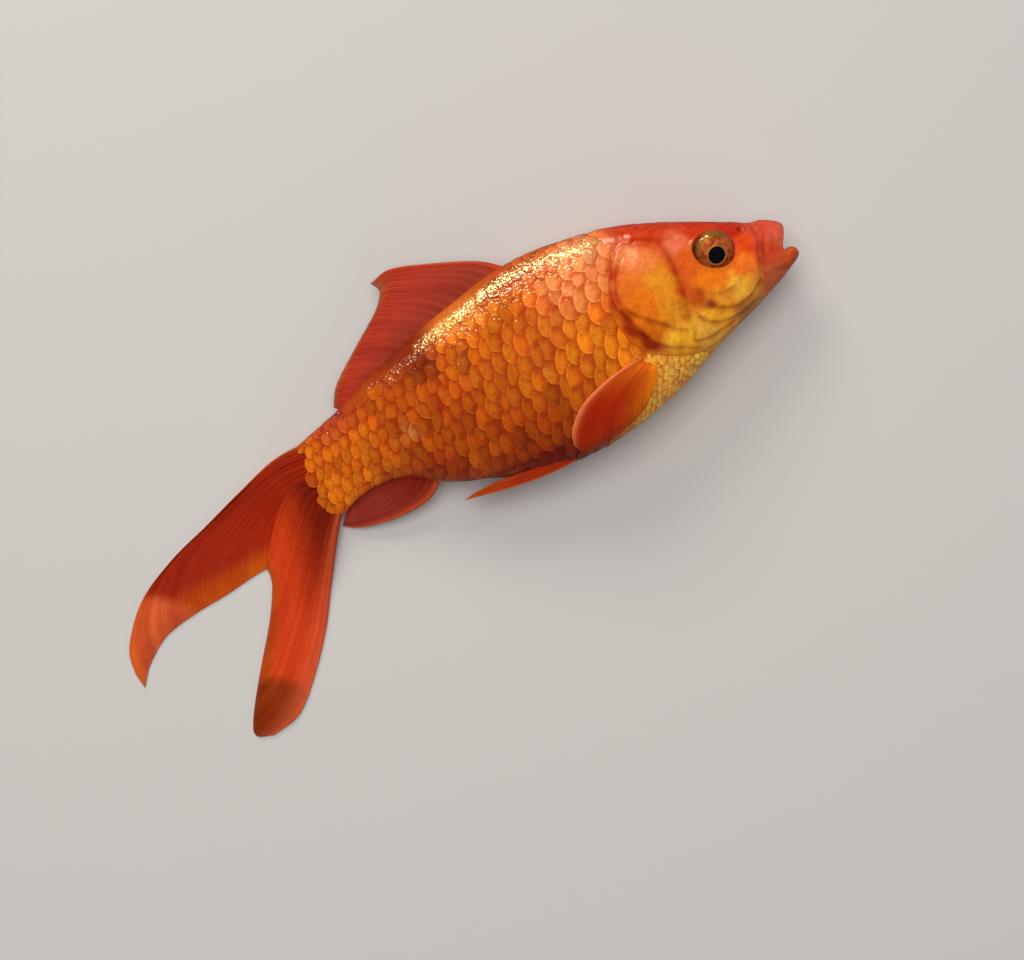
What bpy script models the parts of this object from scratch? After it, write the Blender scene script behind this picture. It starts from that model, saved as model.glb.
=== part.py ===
"""A goldfish lying on its left side, life size and still.

Its own frame: +X runs from the tail to the snout, +Y from the belly to the back and +Z up from the surface
that it lies on. The outlines below are drawn in the fish's plan, whose zero is the middle of the tail's root.
mesh_object() then moves everything, so that the origin is under the middle of the whole fish.

Head, trunk and tail stalk are one lofted body, parted by thin cuts. Each fin is a fan of rays between a root
and a margin, given its thickness and let into the body by a slot. Run it with
blender --background --python part.py, or from Blender's text editor.
"""

import bmesh
import bpy
import numpy as np

MM = 0.001

# Driving sizes, in metres.
GAP = 0.3 * MM  # clearance between neighbouring pieces
GILL_COVER_PROUD = 0.5 * MM  # how far a gill cover stands out of the head
GILL_COVER_DEEP = 1.0 * MM  # how far it reaches into the head
FIN_ROOT_THICKNESS = 1.1 * MM
FIN_EDGE_THICKNESS = 0.6 * MM
FIN_WEB_SHARE = 0.72  # the web between two rays is this share of a ray's thickness
ROOT_DEPTH = 1.6 * MM  # how deep a fin's root sits in the body

# How fine the solids are.
RING_CORNERS = 28
BODY_RINGS = 31
LIP_RINGS = 9

# Outlines of the body in plan: distance from the tail's root, then height of the outline.
BACK = MM * np.array([(-2, 8.4), (3, 10.0), (11, 12.3), (20, 15.6), (30, 18.7), (42, 21.6), (52, 23.6),
                      (62, 23.5), (74, 21.8), (84, 18.3), (92.5, 14.5), (99.5, 11.0), (101.4, 10.0),
                      (104, 9.4)])
BELLY = MM * np.array([(-2, -5.6), (2, -7.2), (7, -5.6), (13, -4.9), (18, -6.0), (22, -8.6), (26, -10.9),
                       (32, -13.2), (42, -16.5), (54, -18.1), (64, -17.1), (76, -13.9), (88, -8.9),
                       (96, -6.0), (104, -2.8)])
# Half the thickness from flank to flank, and the height of the middle plane over the floor, which falls
# towards the limp tail.
HALF_WIDTH = MM * np.array([(-2, 1.5), (0, 2.1), (6, 3.2), (12, 4.4), (25, 6.9), (40, 9.2), (55, 10.5),
                            (70, 10.8), (80, 10.5), (88, 9.3), (94, 7.7), (100, 5.7), (104, 4.5)])
MIDDLE = MM * np.array([(-2, 2.5), (0, 2.9), (12, 5.2), (25, 7.2), (40, 8.8), (55, 9.7), (72, 10.0),
                        (84, 9.8), (108, 9.2)])
# Fullness of a cross-section above and below its middle: 1 is an ellipse, less is boxier, more is sharper.
BACK_SHAPE = np.array([(0, 1.0), (22, 1.1), (52, 1.15), (70, 1.0), (84, 0.8), (94, 0.7), (106, 0.8)])
BELLY_SHAPE = np.array([(0, 1.0), (25, 1.0), (48, 0.85), (68, 0.85), (84, 1.05), (96, 1.15), (106, 0.9)])
BACK_SHAPE[:, 0] *= MM
BELLY_SHAPE[:, 0] *= MM

# The mouth: each lip is a curve from the snout or the chin round its front and into the shallow opening. The
# corners of the mouth lie further back.
UPPER_LIP = MM * np.array([(104, 9.4), (105.7, 8.6), (107.0, 7.7), (107.8, 6.5), (107.4, 5.2), (106.5, 4.0),
                           (105.4, 3.3), (104.0, 3.4), (102.8, 3.5)])
LOWER_LIP = MM * np.array([(104, -2.6), (106.0, -1.7), (107.6, -0.8), (108.4, 0.2), (108.1, 1.3),
                           (107.0, 1.8), (105.6, 1.6), (104.2, 1.6), (102.8, 1.9)])
LIP_HALF_WIDTH = MM * np.array((4.5, 4.3, 4.0, 3.5, 3.0, 2.7, 2.4, 2.0, 1.4))
CORNER_START = 99 * MM
CORNER_SETBACK = 2.0 * MM

# Lines where the flesh is parted, each from the back towards the belly or from the lips backwards.
GILL_LINE = MM * np.array([(80, 32), (78.4, 20), (75.6, 16.2), (71.2, 11.2), (69.3, 7), (68.9, 2),
                           (70.3, -2.6), (73.6, -6.2), (78, -8.7), (83.4, -11.6), (86, -24)])
STALK_LINE = MM * np.array([(11.2, 32), (11.2, -24)])
LIP_GROOVE = MM * np.array([(101.4, 20), (101.5, 9.5), (101.6, 6.4), (100.5, 3.6), (99.9, 0.6)])
JAW_LINE = MM * np.array([(99.9, 0.6), (98.2, -1.9), (95.0, -3.5), (91.0, -4.6), (89.6, -8.5), (89.4, -24)])
MOUTH_LINE = MM * np.array([(99.9, 0.6), (102.6, 2.3), (105.6, 2.5), (116, 4.4)])
FRONT = 116 * MM
REAR = -12 * MM

# Gill cover, seen from the side.
GILL_COVER = MM * np.array([(84.6, 12.7), (80.6, 14.6), (76.2, 15.3), (72.8, 11.8), (71.1, 7.0), (71.3, 1.8),
                            (73.3, -3.4), (77.6, -6.9), (81.9, -6.7), (82.7, -2.4), (83.2, 3.4), (84.0, 8.4)])

EYE_PLACE = MM * np.array((92.1, 7.4))
EYE_RADII = MM * np.array((4.8, 4.5, 3.6))
EYE_OUT = 1.4 * MM  # how far the eye stands out of the head

# Edges of the fins in plan. The root runs from the leading ray to the last one, and so does the margin.
DORSAL = {"leading": [(52.9, 22.2), (46.7, 27.6), (38.5, 31.1), (32.5, 32.7), (28.4, 32.2)],
          "margin": [(28.4, 32.2), (29.3, 29.9), (26.6, 26.6), (20.0, 22.0), (13.4, 17.1), (10.7, 13.3)],
          "last": [(12.6, 10.8), (10.7, 13.3)]}
ANAL = {"leading": [(24.6, -8.8), (20.4, -11.9), (13.0, -12.6), (5.4, -11.2), (1.6, -9.2)],
        "margin": [(1.6, -9.2), (3.0, -8.1), (6.6, -6.6)],
        "last": [(14.2, -3.4), (10.2, -5.9), (6.6, -6.6)]}
TAIL_UPPER = {"root": [(5.6, 9.2), (1.8, 6.4), (0.8, 1.3)],
              "leading": [(5.6, 9.2), (-4.4, 9.2), (-14.0, 6.4), (-23.6, 3.0), (-33.2, -0.3), (-42.0, -5.0),
                          (-48.2, -12.0), (-49.6, -17.0), (-49.2, -21.2)],
              "margin": [(-49.2, -21.2), (-46.0, -17.4), (-40.6, -13.8), (-33.6, -12.3), (-26.0, -11.6),
                         (-19.6, -10.4), (-15.9, -9.1)],
              "last": [(0.8, 1.3), (-5.6, 0.9), (-10.6, -2.8), (-15.9, -9.1)]}
TAIL_LOWER = {"root": [(4.0, -5.4), (1.8, -3.2), (0.8, 0.7)],
              "leading": [(4.0, -5.4), (0.4, -10.0), (-5.2, -18.2), (-10.4, -26.2), (-16.4, -33.6),
                          (-23.0, -39.8), (-29.6, -41.5)],
              "margin": [(-29.6, -41.5), (-33.0, -39.9), (-31.8, -36.2), (-26.6, -28.6), (-20.4, -20.2),
                         (-16.6, -13.6), (-14.9, -10.0)],
              "last": [(0.8, 0.7), (-6.0, 0.3), (-11.0, -3.6), (-14.9, -10.0)]}
PECTORAL = {"root": [(71.2, -5.4), (71.8, -7.8), (71.0, -10.2)],
            "leading": [(71.2, -5.4), (66.8, -5.3), (61.4, -6.4), (55.6, -8.6), (51.8, -12.0), (50.7, -15.0)],
            "margin": [(50.7, -15.0), (52.4, -17.2), (57.6, -17.0), (63.4, -16.0), (67.0, -14.3),
                       (69.0, -12.4)],
            "last": [(71.0, -10.2), (70.4, -11.4), (69.0, -12.4)]}
PELVIC = {"root": [(55.6, -16.4), (54.2, -15.4)],
          "leading": [(55.6, -16.4), (48.4, -17.8), (38.5, -17.4), (26.5, -15.3)],
          "margin": [(26.5, -15.3), (29.0, -14.9), (33.4, -14.7)],
          "last": [(54.2, -15.4), (46.0, -15.9), (33.4, -14.7)]}

# How the fins hang. Where there are two values, the first is for the leading ray and the second for the last.
DORSAL_DROOP = MM * np.array((4.4, 1.4))  # of the margin under the root
DORSAL_BEND = 1.4
ANAL_ROOT_UNDER = 0.4 * MM  # the middle plane
ANAL_MARGIN_HEIGHT = MM * np.array((0.5, 1.8))
ANAL_BEND = 0.8
TAIL_SLOPE_START = 4 * MM  # in front of the middle of the tail's root, where the lobes start to sink
TAIL_SLOPE_LENGTH = 17 * MM
TAIL_SLOPE_ASIDE = 0.6  # how much a step sideways counts against a step backwards
TAIL_BEND = 1.3
PECTORAL_ROOT_UNDER = 1.2 * MM  # the skin of the flank
PECTORAL_OVER = 0.9 * MM  # the skin, once the fin has come out of it
PECTORAL_OUT_AT = 0.3  # share of a ray's length
PECTORAL_BEND = 0.7
PELVIC_OUT = MM * np.array((1.6, 4.2))  # from the middle plane
PELVIC_FOLD = 0.7  # share of that difference which is gone at the margin

MIDDLE_OF_ALL = MM * np.array((29.4, -4.4))  # the middle of the whole fish in its plan

ORANGE = (0.86, 0.24, 0.03)
GOLD = (0.88, 0.42, 0.06)
RED = (0.72, 0.07, 0.01)
EYE_BROWN = (0.30, 0.10, 0.02)


def smooth(at, knots, values=None):
    """A cubic curve through the knots, whose slope at a knot is the mean slope on either side of it.

    knots is a list of (place, value), or of places alone with values given beside them.
    """
    if values is None:
        knots, values = knots[:, 0], knots[:, 1]
    values = np.asarray(values, float)
    slope = np.gradient(values, knots, axis=0)
    at = np.clip(at, knots[0], knots[-1])
    k = np.clip(np.searchsorted(knots, at, side="right") - 1, 0, len(knots) - 2)
    span = knots[k + 1] - knots[k]
    t = (at - knots[k]) / span
    if values.ndim > 1:
        span, t = span[:, None], t[:, None]
    rise = t * t * (3 - 2 * t)
    bend = t * (1 - t) ** 2 * slope[k] - t * t * (1 - t) * slope[k + 1]
    return (1 - rise) * values[k] + rise * values[k + 1] + span * bend


def along(points, count):
    """The curve through some points, as count points evenly spaced in the points' order."""
    order = np.linspace(0, 1, len(points))
    return smooth(np.linspace(0, 1, count), order, points)


# --- the body ---

def ring_spine(offset):
    """Back point, belly point, half width, middle height and corner setback of each ring, tail to mouth.

    offset moves the skin out of the body, or into it where it is negative.
    """
    x = np.linspace(BACK[0, 0], BACK[-1, 0], BODY_RINGS)
    back = np.stack([x, smooth(x, BACK) + offset], 1)
    belly = np.stack([x, smooth(x, BELLY) - offset], 1)
    half = smooth(x, HALF_WIDTH) + offset
    back = np.vstack([back, along(UPPER_LIP, LIP_RINGS)[1:] + (0, offset)])
    belly = np.vstack([belly, along(LOWER_LIP, LIP_RINGS)[1:] - (0, offset)])
    half = np.concatenate([half, along(LIP_HALF_WIDTH, LIP_RINGS)[1:] + offset])
    middle = smooth((back[:, 0] + belly[:, 0]) / 2, MIDDLE)
    share = np.clip((back[:, 0] - CORNER_START) / (BACK[-1, 0] - CORNER_START), 0, 1)
    setback = CORNER_SETBACK * share**1.5
    setback[-3:] *= (0.8, 0.5, 0.2)
    return back, belly, half, middle, setback


def body_rings(offset=0.0):
    """The rings of the whole body, as an array of ring, corner and coordinate.

    A ring is an oval between its back and belly points: along it the height goes with the cosine of the
    angle and the thickness with a power of the sine, and nothing goes under the floor.
    """
    back, belly, half, middle, setback = ring_spine(offset)
    angle = np.linspace(0, 2 * np.pi, RING_CORNERS, endpoint=False)
    cos, sin = np.cos(angle), np.sin(angle)
    x = (back[:, 0] + belly[:, 0]) / 2
    shape = np.where(cos > 0, smooth(x, BACK_SHAPE)[:, None], smooth(x, BELLY_SHAPE)[:, None])
    plan = (back + belly)[:, None] / 2 + (back - belly)[:, None] / 2 * cos[None, :, None]
    plan[..., 0] -= setback[:, None] * sin**2
    z = middle[:, None] + half[:, None] * np.sign(sin) * np.abs(sin) ** shape
    return np.concatenate([plan, np.maximum(z, max(0.0, -offset))[..., None]], axis=2)


def flank(x, y):
    """Half the body's thickness at a place in plan: the body's oval solved for its thickness."""
    top, bottom = smooth(x, BACK), smooth(x, BELLY)
    level = np.clip((2 * y - top - bottom) / (top - bottom), -1, 1)
    shape = np.where(level > 0, smooth(x, BACK_SHAPE), smooth(x, BELLY_SHAPE))
    return smooth(x, HALF_WIDTH) * (1 - level**2) ** (shape / 2)


# --- objects ---

def material(name, colour):
    made = bpy.data.materials.new(name)
    made.use_nodes = True
    shader = made.node_tree.nodes["Principled BSDF"]
    shader.inputs["Base Color"].default_value = (*colour, 1)
    shader.inputs["Roughness"].default_value = 0.25
    shader.inputs["Metallic"].default_value = 0.0
    return made


def mesh_object(name, points, faces, colour=ORANGE):
    """A smooth object of these points and faces, moved from the plan to the fish's own frame."""
    mesh = bpy.data.meshes.new(name)
    shifted = points.reshape(-1, 3) - np.append(MIDDLE_OF_ALL, 0)
    mesh.from_pydata(shifted.tolist(), [], faces)
    if len(faces):
        work = bmesh.new()
        work.from_mesh(mesh)
        bmesh.ops.recalc_face_normals(work, faces=work.faces)
        work.to_mesh(mesh)
        work.free()
    mesh.materials.append(material(name, colour))
    mesh.shade_smooth()
    made = bpy.data.objects.new(name, mesh)
    bpy.context.scene.collection.objects.link(made)
    return made


def loft(name, rings, colour=ORANGE):
    """A closed skin over a stack of rings, with a flat cap on the first and the last."""
    count, corners = rings.shape[:2]
    at = np.arange(count * corners).reshape(count, corners)
    ahead = np.roll(at, -1, axis=1)
    sides = np.stack([at[:-1], ahead[:-1], ahead[1:], at[1:]], -1).reshape(-1, 4)
    return mesh_object(name, rings, [*sides.tolist(), at[0, ::-1].tolist(), at[-1].tolist()], colour)


def prism(name, outline, low, high):
    """A straight block over a closed outline in plan, between two heights."""
    floor = np.column_stack([outline, np.full(len(outline), low)])
    roof = np.column_stack([outline, np.full(len(outline), high)])
    return helper(loft(name, np.stack([floor, roof])))


def helper(made):
    """Marks an object as a cutter or a guide, which isn't part of the fish."""
    made.hide_render = True
    made.display_type = "WIRE"
    return made


def boolean(made, operation, *others):
    for other in others:
        modifier = made.modifiers.new(other.name, "BOOLEAN")
        modifier.operation = operation
        modifier.solver = "EXACT"
        modifier.object = other
    return made


# --- fins ---

def fan(root, leading, margin, last, rays, steps):
    """Rays of a fin as a sheet stretched between its four edges, each a smooth curve through a few points.

    A point is the mean of the two edges on either side, in both directions, less the mean of the corners.
    """
    root, margin = along(root, rays)[:, None], along(margin, rays)[:, None]
    leading, last = along(leading, steps)[None], along(last, steps)[None]
    a = np.linspace(0, 1, rays)[:, None, None]
    b = np.linspace(0, 1, steps)[None, :, None]
    across = (1 - a) * leading + a * last
    outwards = (1 - b) * root + b * margin
    corners = (1 - b) * ((1 - a) * root[:1] + a * root[-1:]) + b * ((1 - a) * margin[:1] + a * margin[-1:])
    return across + outwards - corners


def raised(plan, height):
    """Points in plan with their heights beside them."""
    return np.concatenate([plan, np.broadcast_to(height, plan.shape[:-1])[..., None]], axis=-1)


def widened(rays, grow):
    """The same fan with its border moved outwards, in its own plane."""
    wide = rays.copy()
    for edge, inner in ((np.s_[0], np.s_[1]), (np.s_[-1], np.s_[-2]), (np.s_[:, 0], np.s_[:, 1]),
                        (np.s_[:, -1], np.s_[:, -2])):
        outwards = rays[edge] - rays[inner]
        wide[edge] += grow * outwards / np.linalg.norm(outwards, axis=1, keepdims=True)
    return wide


def plate(name, rays, grow=0.0):
    """A closed plate over a fan: thick at the root, thin at the margin and thinner between the rays.

    Each side is the fan moved along its normal by half the thickness, and nothing goes under the floor.
    grow moves every side outwards, which makes the cutter of the fin's slot.
    """
    across = np.cross(np.gradient(rays, axis=0), np.gradient(rays, axis=1))
    normal = across / np.linalg.norm(across, axis=2, keepdims=True)
    normal *= np.sign(normal[..., 2].mean())
    thickness = np.linspace(FIN_ROOT_THICKNESS, FIN_EDGE_THICKNESS, rays.shape[1])
    ribs = np.where(np.arange(len(rays)) % 2 == 0, 1.0, FIN_WEB_SHARE)
    half = np.maximum(thickness[None, :] * ribs[:, None], FIN_EDGE_THICKNESS)[..., None] / 2
    low, high = rays - normal * half, rays + normal * half
    sunk = low[..., 2] < 0
    low[sunk, 2] = 0
    high[sunk, 2] = np.maximum(high[sunk, 2], FIN_EDGE_THICKNESS)
    spread = widened(rays, grow) - rays
    low += spread - normal * grow
    high += spread + normal * grow
    count, steps = rays.shape[:2]
    at = np.arange(count * steps).reshape(count, steps)
    quads = np.stack([at[:-1, :-1], at[1:, :-1], at[1:, 1:], at[:-1, 1:]], -1).reshape(-1, 4)
    border = np.concatenate([at[0, :-1], at[:-1, -1], at[-1, :0:-1], at[:0:-1, 0]])
    ahead = np.roll(border, -1)
    step = count * steps
    rim = np.stack([border, ahead, ahead + step, border + step], -1)
    faces = [*quads.tolist(), *(quads[:, ::-1] + step).tolist(), *rim.tolist()]
    return mesh_object(name, np.concatenate([low.reshape(-1, 3), high.reshape(-1, 3)]), faces, RED)


def edge(points):
    return MM * np.array(points)


def between(ends, share):
    """The value at a share of the way from the first of two values to the second."""
    return ends[0] + (ends[1] - ends[0]) * share


def fin_in_plan(edges, rays, steps, root=None):
    """The fan of a fin in plan, with each point's share of the way across the rays and along its ray."""
    root = edge(edges["root"]) if root is None else root
    plan = fan(root, edge(edges["leading"]), edge(edges["margin"]), edge(edges["last"]), rays, steps)
    a, b = np.meshgrid(np.linspace(0, 1, rays), np.linspace(0, 1, steps), indexing="ij")
    return plan, a, b


def dorsal_fin():
    """Long-based fin on the back, half raised, whose margin droops."""
    x = np.linspace(DORSAL["leading"][0][0], DORSAL["last"][0][0], 9) * MM
    plan, a, b = fin_in_plan(DORSAL, 21, 7, np.stack([x, smooth(x, BACK) - ROOT_DEPTH], 1))
    root = smooth(plan[:, 0, 0], MIDDLE)[:, None]
    return raised(plan, root - between(DORSAL_DROOP, a) * b**DORSAL_BEND)


def anal_fin():
    """Short-based fin behind the belly, folded back and sunk to the floor."""
    x = np.linspace(ANAL["leading"][0][0], ANAL["last"][0][0], 5) * MM
    plan, a, b = fin_in_plan(ANAL, 9, 8, np.stack([x, smooth(x, BELLY) + ROOT_DEPTH], 1))
    root = smooth(plan[:, 0, 0], MIDDLE)[:, None] - ANAL_ROOT_UNDER
    return raised(plan, root + (between(ANAL_MARGIN_HEIGHT, a) - root) * b**ANAL_BEND)


def tail_fin(edges):
    """One lobe of the tail fin, which sinks from the stalk and then lies flat on the floor."""
    plan, a, b = fin_in_plan(edges, 11, 12)
    start, flat = smooth(np.zeros(1), MIDDLE)[0], FIN_EDGE_THICKNESS / 2
    reach = np.hypot(plan[..., 0] - TAIL_SLOPE_START, plan[..., 1] * TAIL_SLOPE_ASIDE)
    return raised(plan, flat + (start - flat) * np.clip(1 - reach / TAIL_SLOPE_LENGTH, 0, 1) ** TAIL_BEND)


def pectoral_fin(side):
    """Fin behind the gill cover, folded back over the lower flank, which it follows at a small distance."""
    plan, a, b = fin_in_plan(PECTORAL, 11, 8)
    x, y = plan[..., 0].ravel(), plan[..., 1].ravel()
    lift = (PECTORAL_ROOT_UNDER + PECTORAL_OVER) * np.clip(b / PECTORAL_OUT_AT, 0, 1) ** PECTORAL_BEND
    out = flank(x, y).reshape(plan.shape[:2]) - PECTORAL_ROOT_UNDER + lift
    return raised(plan, np.maximum(smooth(x, MIDDLE).reshape(out.shape) + side * out, FIN_EDGE_THICKNESS / 2))


def pelvic_fin(side):
    """Fin under the belly, folded back along it and leaning against the rounding of the flank."""
    plan, a, b = fin_in_plan(PELVIC, 7, 9)
    out = between(PELVIC_OUT, a * (1 - PELVIC_FOLD * b))
    return raised(plan, smooth(plan[..., 0].ravel(), MIDDLE).reshape(out.shape) + side * out)


# --- pieces of flesh ---

def shifted(line, x=0.0, y=0.0):
    return line + np.array((x, y))


def region_outlines():
    """Closed outlines, in plan, of the stretches that head, jaws, trunk and tail stalk are cut to."""
    half = GAP / 2
    gill, stalk, groove, jaw, mouth = (along(line, 2 * len(line)) for line in
                                       (GILL_LINE, STALK_LINE, LIP_GROOVE, JAW_LINE, MOUTH_LINE))
    return {
        "head": np.vstack([shifted(gill, half), shifted(jaw, -half, half)[::-1],
                           shifted(groove, -half, half)[-2::-1]]),
        "upper_jaw": np.vstack([shifted(groove, half, half), shifted(mouth, half, half)[1:],
                                [(FRONT, groove[0, 1])]]),
        "lower_jaw": np.vstack([shifted(mouth, half, -half)[::-1], shifted(jaw, half, -half)[1:],
                                [(FRONT, jaw[-1, 1])]]),
        "trunk": np.vstack([shifted(stalk, half), shifted(gill, -half)[::-1]]),
        "tail_stalk": np.vstack([[(REAR, stalk[0, 1])], shifted(stalk, -half), [(REAR, stalk[-1, 1])]]),
    }


def sphere_points(centre, radii, grow=0.0, steps=14):
    """Rings of an ellipsoid with its poles along Z, each ring a circle scaled to the radii."""
    tilt = np.radians(np.linspace(-80, 80, steps // 2))
    turn = np.linspace(0, 2 * np.pi, steps, endpoint=False)
    around = np.stack([np.cos(turn), np.sin(turn)], 1)
    plan = np.cos(tilt)[:, None, None] * around[None] * (radii[:2] + grow) + centre[:2]
    z = centre[2] + np.repeat(np.sin(tilt)[:, None] * (radii[2] + grow), steps, 1)
    return np.concatenate([plan, z[..., None]], axis=2)


def eye_centre(side):
    x, y = EYE_PLACE
    out = flank(np.array([x]), np.array([y]))[0] + EYE_OUT - EYE_RADII[2]
    return np.array((x, y, smooth(np.array([x]), MIDDLE)[0] + side * out))


def gill_cover(name, side, outer, core):
    """A curved plate cut from a slightly larger body, and the block that makes its pocket in the head."""
    outline = along(np.vstack([GILL_COVER, GILL_COVER[:1]]), 33)[:-1]
    centre = outline.mean(0)
    grown = outline + GAP * (outline - centre) / np.linalg.norm(outline - centre, axis=1, keepdims=True)
    middle = smooth(centre[:1], MIDDLE)[0]
    low, high = (middle, 40 * MM) if side > 0 else (-10 * MM, middle)
    window = prism(name + "_window", outline, low, high)
    cover = mesh_object(name, *outer, GOLD)
    boolean(cover, "INTERSECT", window)
    boolean(cover, "DIFFERENCE", core["cover"])
    pocket = boolean(prism(name + "_pocket", grown, low, high), "DIFFERENCE", core["head"])
    return pocket


def mesh_of(rings):
    """Points and faces of a lofted body, for objects that start as the whole of it."""
    made = loft("whole", rings)
    faces = [list(face.vertices) for face in made.data.polygons]
    bpy.data.objects.remove(made)
    return rings, faces


def build():
    sides = {"right": 1, "left": -1}
    outer = mesh_of(body_rings(GILL_COVER_PROUD))
    core = {"cover": helper(loft("core_under_cover", body_rings(-GILL_COVER_DEEP))),
            "head": helper(loft("core_under_head", body_rings(-GILL_COVER_DEEP - GAP)))}
    head_cuts = [gill_cover("gill_cover_" + word, side, outer, core) for word, side in sides.items()]
    for word, side in sides.items():
        loft("eye_" + word, sphere_points(eye_centre(side), EYE_RADII), EYE_BROWN)
        head_cuts.append(helper(loft("socket_" + word, sphere_points(eye_centre(side), EYE_RADII, GAP))))

    fans = {"dorsal_fin": dorsal_fin(), "anal_fin": anal_fin()}
    for word, side in sides.items():
        fans["pelvic_fin_" + word] = pelvic_fin(side)
        fans["pectoral_fin_" + word] = pectoral_fin(side)
    lobes = {"tail_fin_upper": tail_fin(TAIL_UPPER), "tail_fin_lower": tail_fin(TAIL_LOWER)}
    for name, rays in {**fans, **lobes}.items():
        plate(name, rays)
    slots = [helper(plate(name + "_slot", rays, GAP)) for name, rays in fans.items()]
    tail_slots = [helper(plate(name + "_slot", rays, GAP)) for name, rays in lobes.items()]
    tail_slots.append(slots[1])

    whole = mesh_of(body_rings())
    cuts = {"head": head_cuts, "trunk": slots, "tail_stalk": tail_slots}
    for name, outline in region_outlines().items():
        piece = mesh_object(name, *whole, ORANGE)
        boolean(piece, "INTERSECT", prism(name + "_region", outline, -10 * MM, 40 * MM))
        boolean(piece, "DIFFERENCE", *cuts.get(name, []))


for old in list(bpy.data.objects):
    bpy.data.objects.remove(old)
build()
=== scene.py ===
# %% [markdown]
# # A goldfish lying on its side
# This lesson dresses the plain solids of a small goldfish: one wet skin, about eight hundred scales that
# overlap like roof tiles, seven rayed fins and two glassy eyes. The solids are loaded first, because they
# fix the fish's size and place, and everything after that is fitted to them.

import math

import bpy
import numpy as np
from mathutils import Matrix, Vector


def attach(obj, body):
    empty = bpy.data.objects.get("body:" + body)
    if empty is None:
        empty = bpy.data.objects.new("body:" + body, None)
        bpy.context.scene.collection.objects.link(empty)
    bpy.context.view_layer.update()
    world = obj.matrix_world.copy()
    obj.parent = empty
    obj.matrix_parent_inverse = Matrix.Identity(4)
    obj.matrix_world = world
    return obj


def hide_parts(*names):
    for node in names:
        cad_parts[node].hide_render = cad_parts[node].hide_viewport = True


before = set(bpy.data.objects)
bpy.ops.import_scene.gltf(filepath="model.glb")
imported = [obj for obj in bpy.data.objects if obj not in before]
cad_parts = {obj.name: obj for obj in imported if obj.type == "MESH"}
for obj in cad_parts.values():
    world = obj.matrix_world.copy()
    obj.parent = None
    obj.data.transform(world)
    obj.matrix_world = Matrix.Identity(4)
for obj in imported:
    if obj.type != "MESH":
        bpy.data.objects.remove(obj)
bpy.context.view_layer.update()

# %% [markdown]
# ## Measures of the fish
# A fish is easiest to draw from the side, so its plan is the drawing: x runs from the middle of the tail's
# root to the snout and y from the belly to the back, both in millimetres. Height over the floor is z. The
# curves below say how far the back and the belly are from the axis, how thick the fish is, and how high its
# middle plane lies.

# %% The outlines of the body
MM = 0.001
PLAN_MIDDLE = np.array((29.4, -4.4, 0.0))  # this plan point is the origin of the finished fish

BACK = np.array([(-5, 7.4), (-2, 8.6), (3, 10.0), (11, 12.3), (20, 15.6), (30, 18.7), (42, 21.6), (52, 23.6),
                 (62, 23.5), (74, 21.8), (84, 18.3), (92.5, 14.5), (99.5, 11.0), (101.4, 10.0), (104, 9.4)])
BELLY = np.array([(-5, -5.6), (-2, -6.3), (2, -7.2), (7, -5.6), (13, -4.9), (18, -6.0), (22, -8.6),
                  (26, -10.9), (32, -13.2), (42, -16.5), (54, -18.1), (64, -17.1), (76, -13.9),
                  (88, -8.9), (96, -6.0), (104, -2.8)])
HALF_WIDTH = np.array([(-5, 0.15), (-4, 0.6), (-2, 1.3), (0, 2.0), (6, 3.2), (12, 4.4), (25, 6.9), (40, 9.2),
                       (55, 10.5), (70, 10.8), (80, 10.5), (88, 9.3), (94, 7.7), (100, 5.7), (104, 4.5)])
MIDDLE = np.array([(-5, 1.3), (-4, 1.6), (0, 2.9), (12, 5.2), (25, 7.2), (40, 8.8), (55, 9.7), (72, 10.0),
                   (84, 9.8), (108, 9.2)])
# How full a cross-section is above and below its middle: 1 is an ellipse, less is boxier, more is sharper.
BACK_SHAPE = np.array([(0, 1.0), (22, 1.1), (52, 1.15), (70, 1.0), (84, 0.8), (94, 0.7), (106, 0.8)])
BELLY_SHAPE = np.array([(0, 1.0), (25, 1.0), (48, 0.85), (68, 0.85), (84, 1.05), (96, 1.15), (106, 0.9)])
# The mouth is two lips, each a curve from the snout or the chin round its front and into the opening.
UPPER_LIP = np.array([(104, 9.4), (105.7, 8.6), (107.0, 7.7), (107.8, 6.5), (107.4, 5.2), (106.5, 3.8),
                      (105.5, 2.75), (104.4, 2.9), (103.0, 3.2), (101.6, 3.2)])
LOWER_LIP = np.array([(104, -2.6), (106.0, -1.7), (107.6, -0.8), (108.4, 0.2), (108.1, 1.4), (107.0, 2.0),
                      (105.6, 1.75), (104.4, 1.6), (103.0, 1.8), (101.6, 2.2)])
LIP_HALF_WIDTH = np.array((4.5, 4.3, 4.0, 3.5, 3.0, 2.8, 2.6, 2.3, 1.8, 1.0))
LIPS_START = 104.0  # the lips' curves begin here
CORNER_START, CORNER_SETBACK, CORNER_DROP = 98.0, 2.6, 1.5  # the corners of the mouth lie back and lower
NAPE, NAPE_SLOPE = (15.0, 17.5), 2.6  # from this height up, the step from head to scales is this much longer
# The edge of the gill membrane is where the smooth head ends and the scales begin.
GILL_LINE = np.array([(71.6, 32), (73.2, 24), (74.6, 20.4), (75.4, 17.8), (74.6, 15.6), (72.8, 13.8),
                      (71.2, 11.6), (69.8, 9.2), (68.9, 7.1), (68.6, 4.5), (68.8, 1.6), (69.8, -2.2),
                      (72.0, -5.2), (75.4, -7.4), (79.6, -9.2), (83.6, -11.2), (86, -24)])


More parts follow.
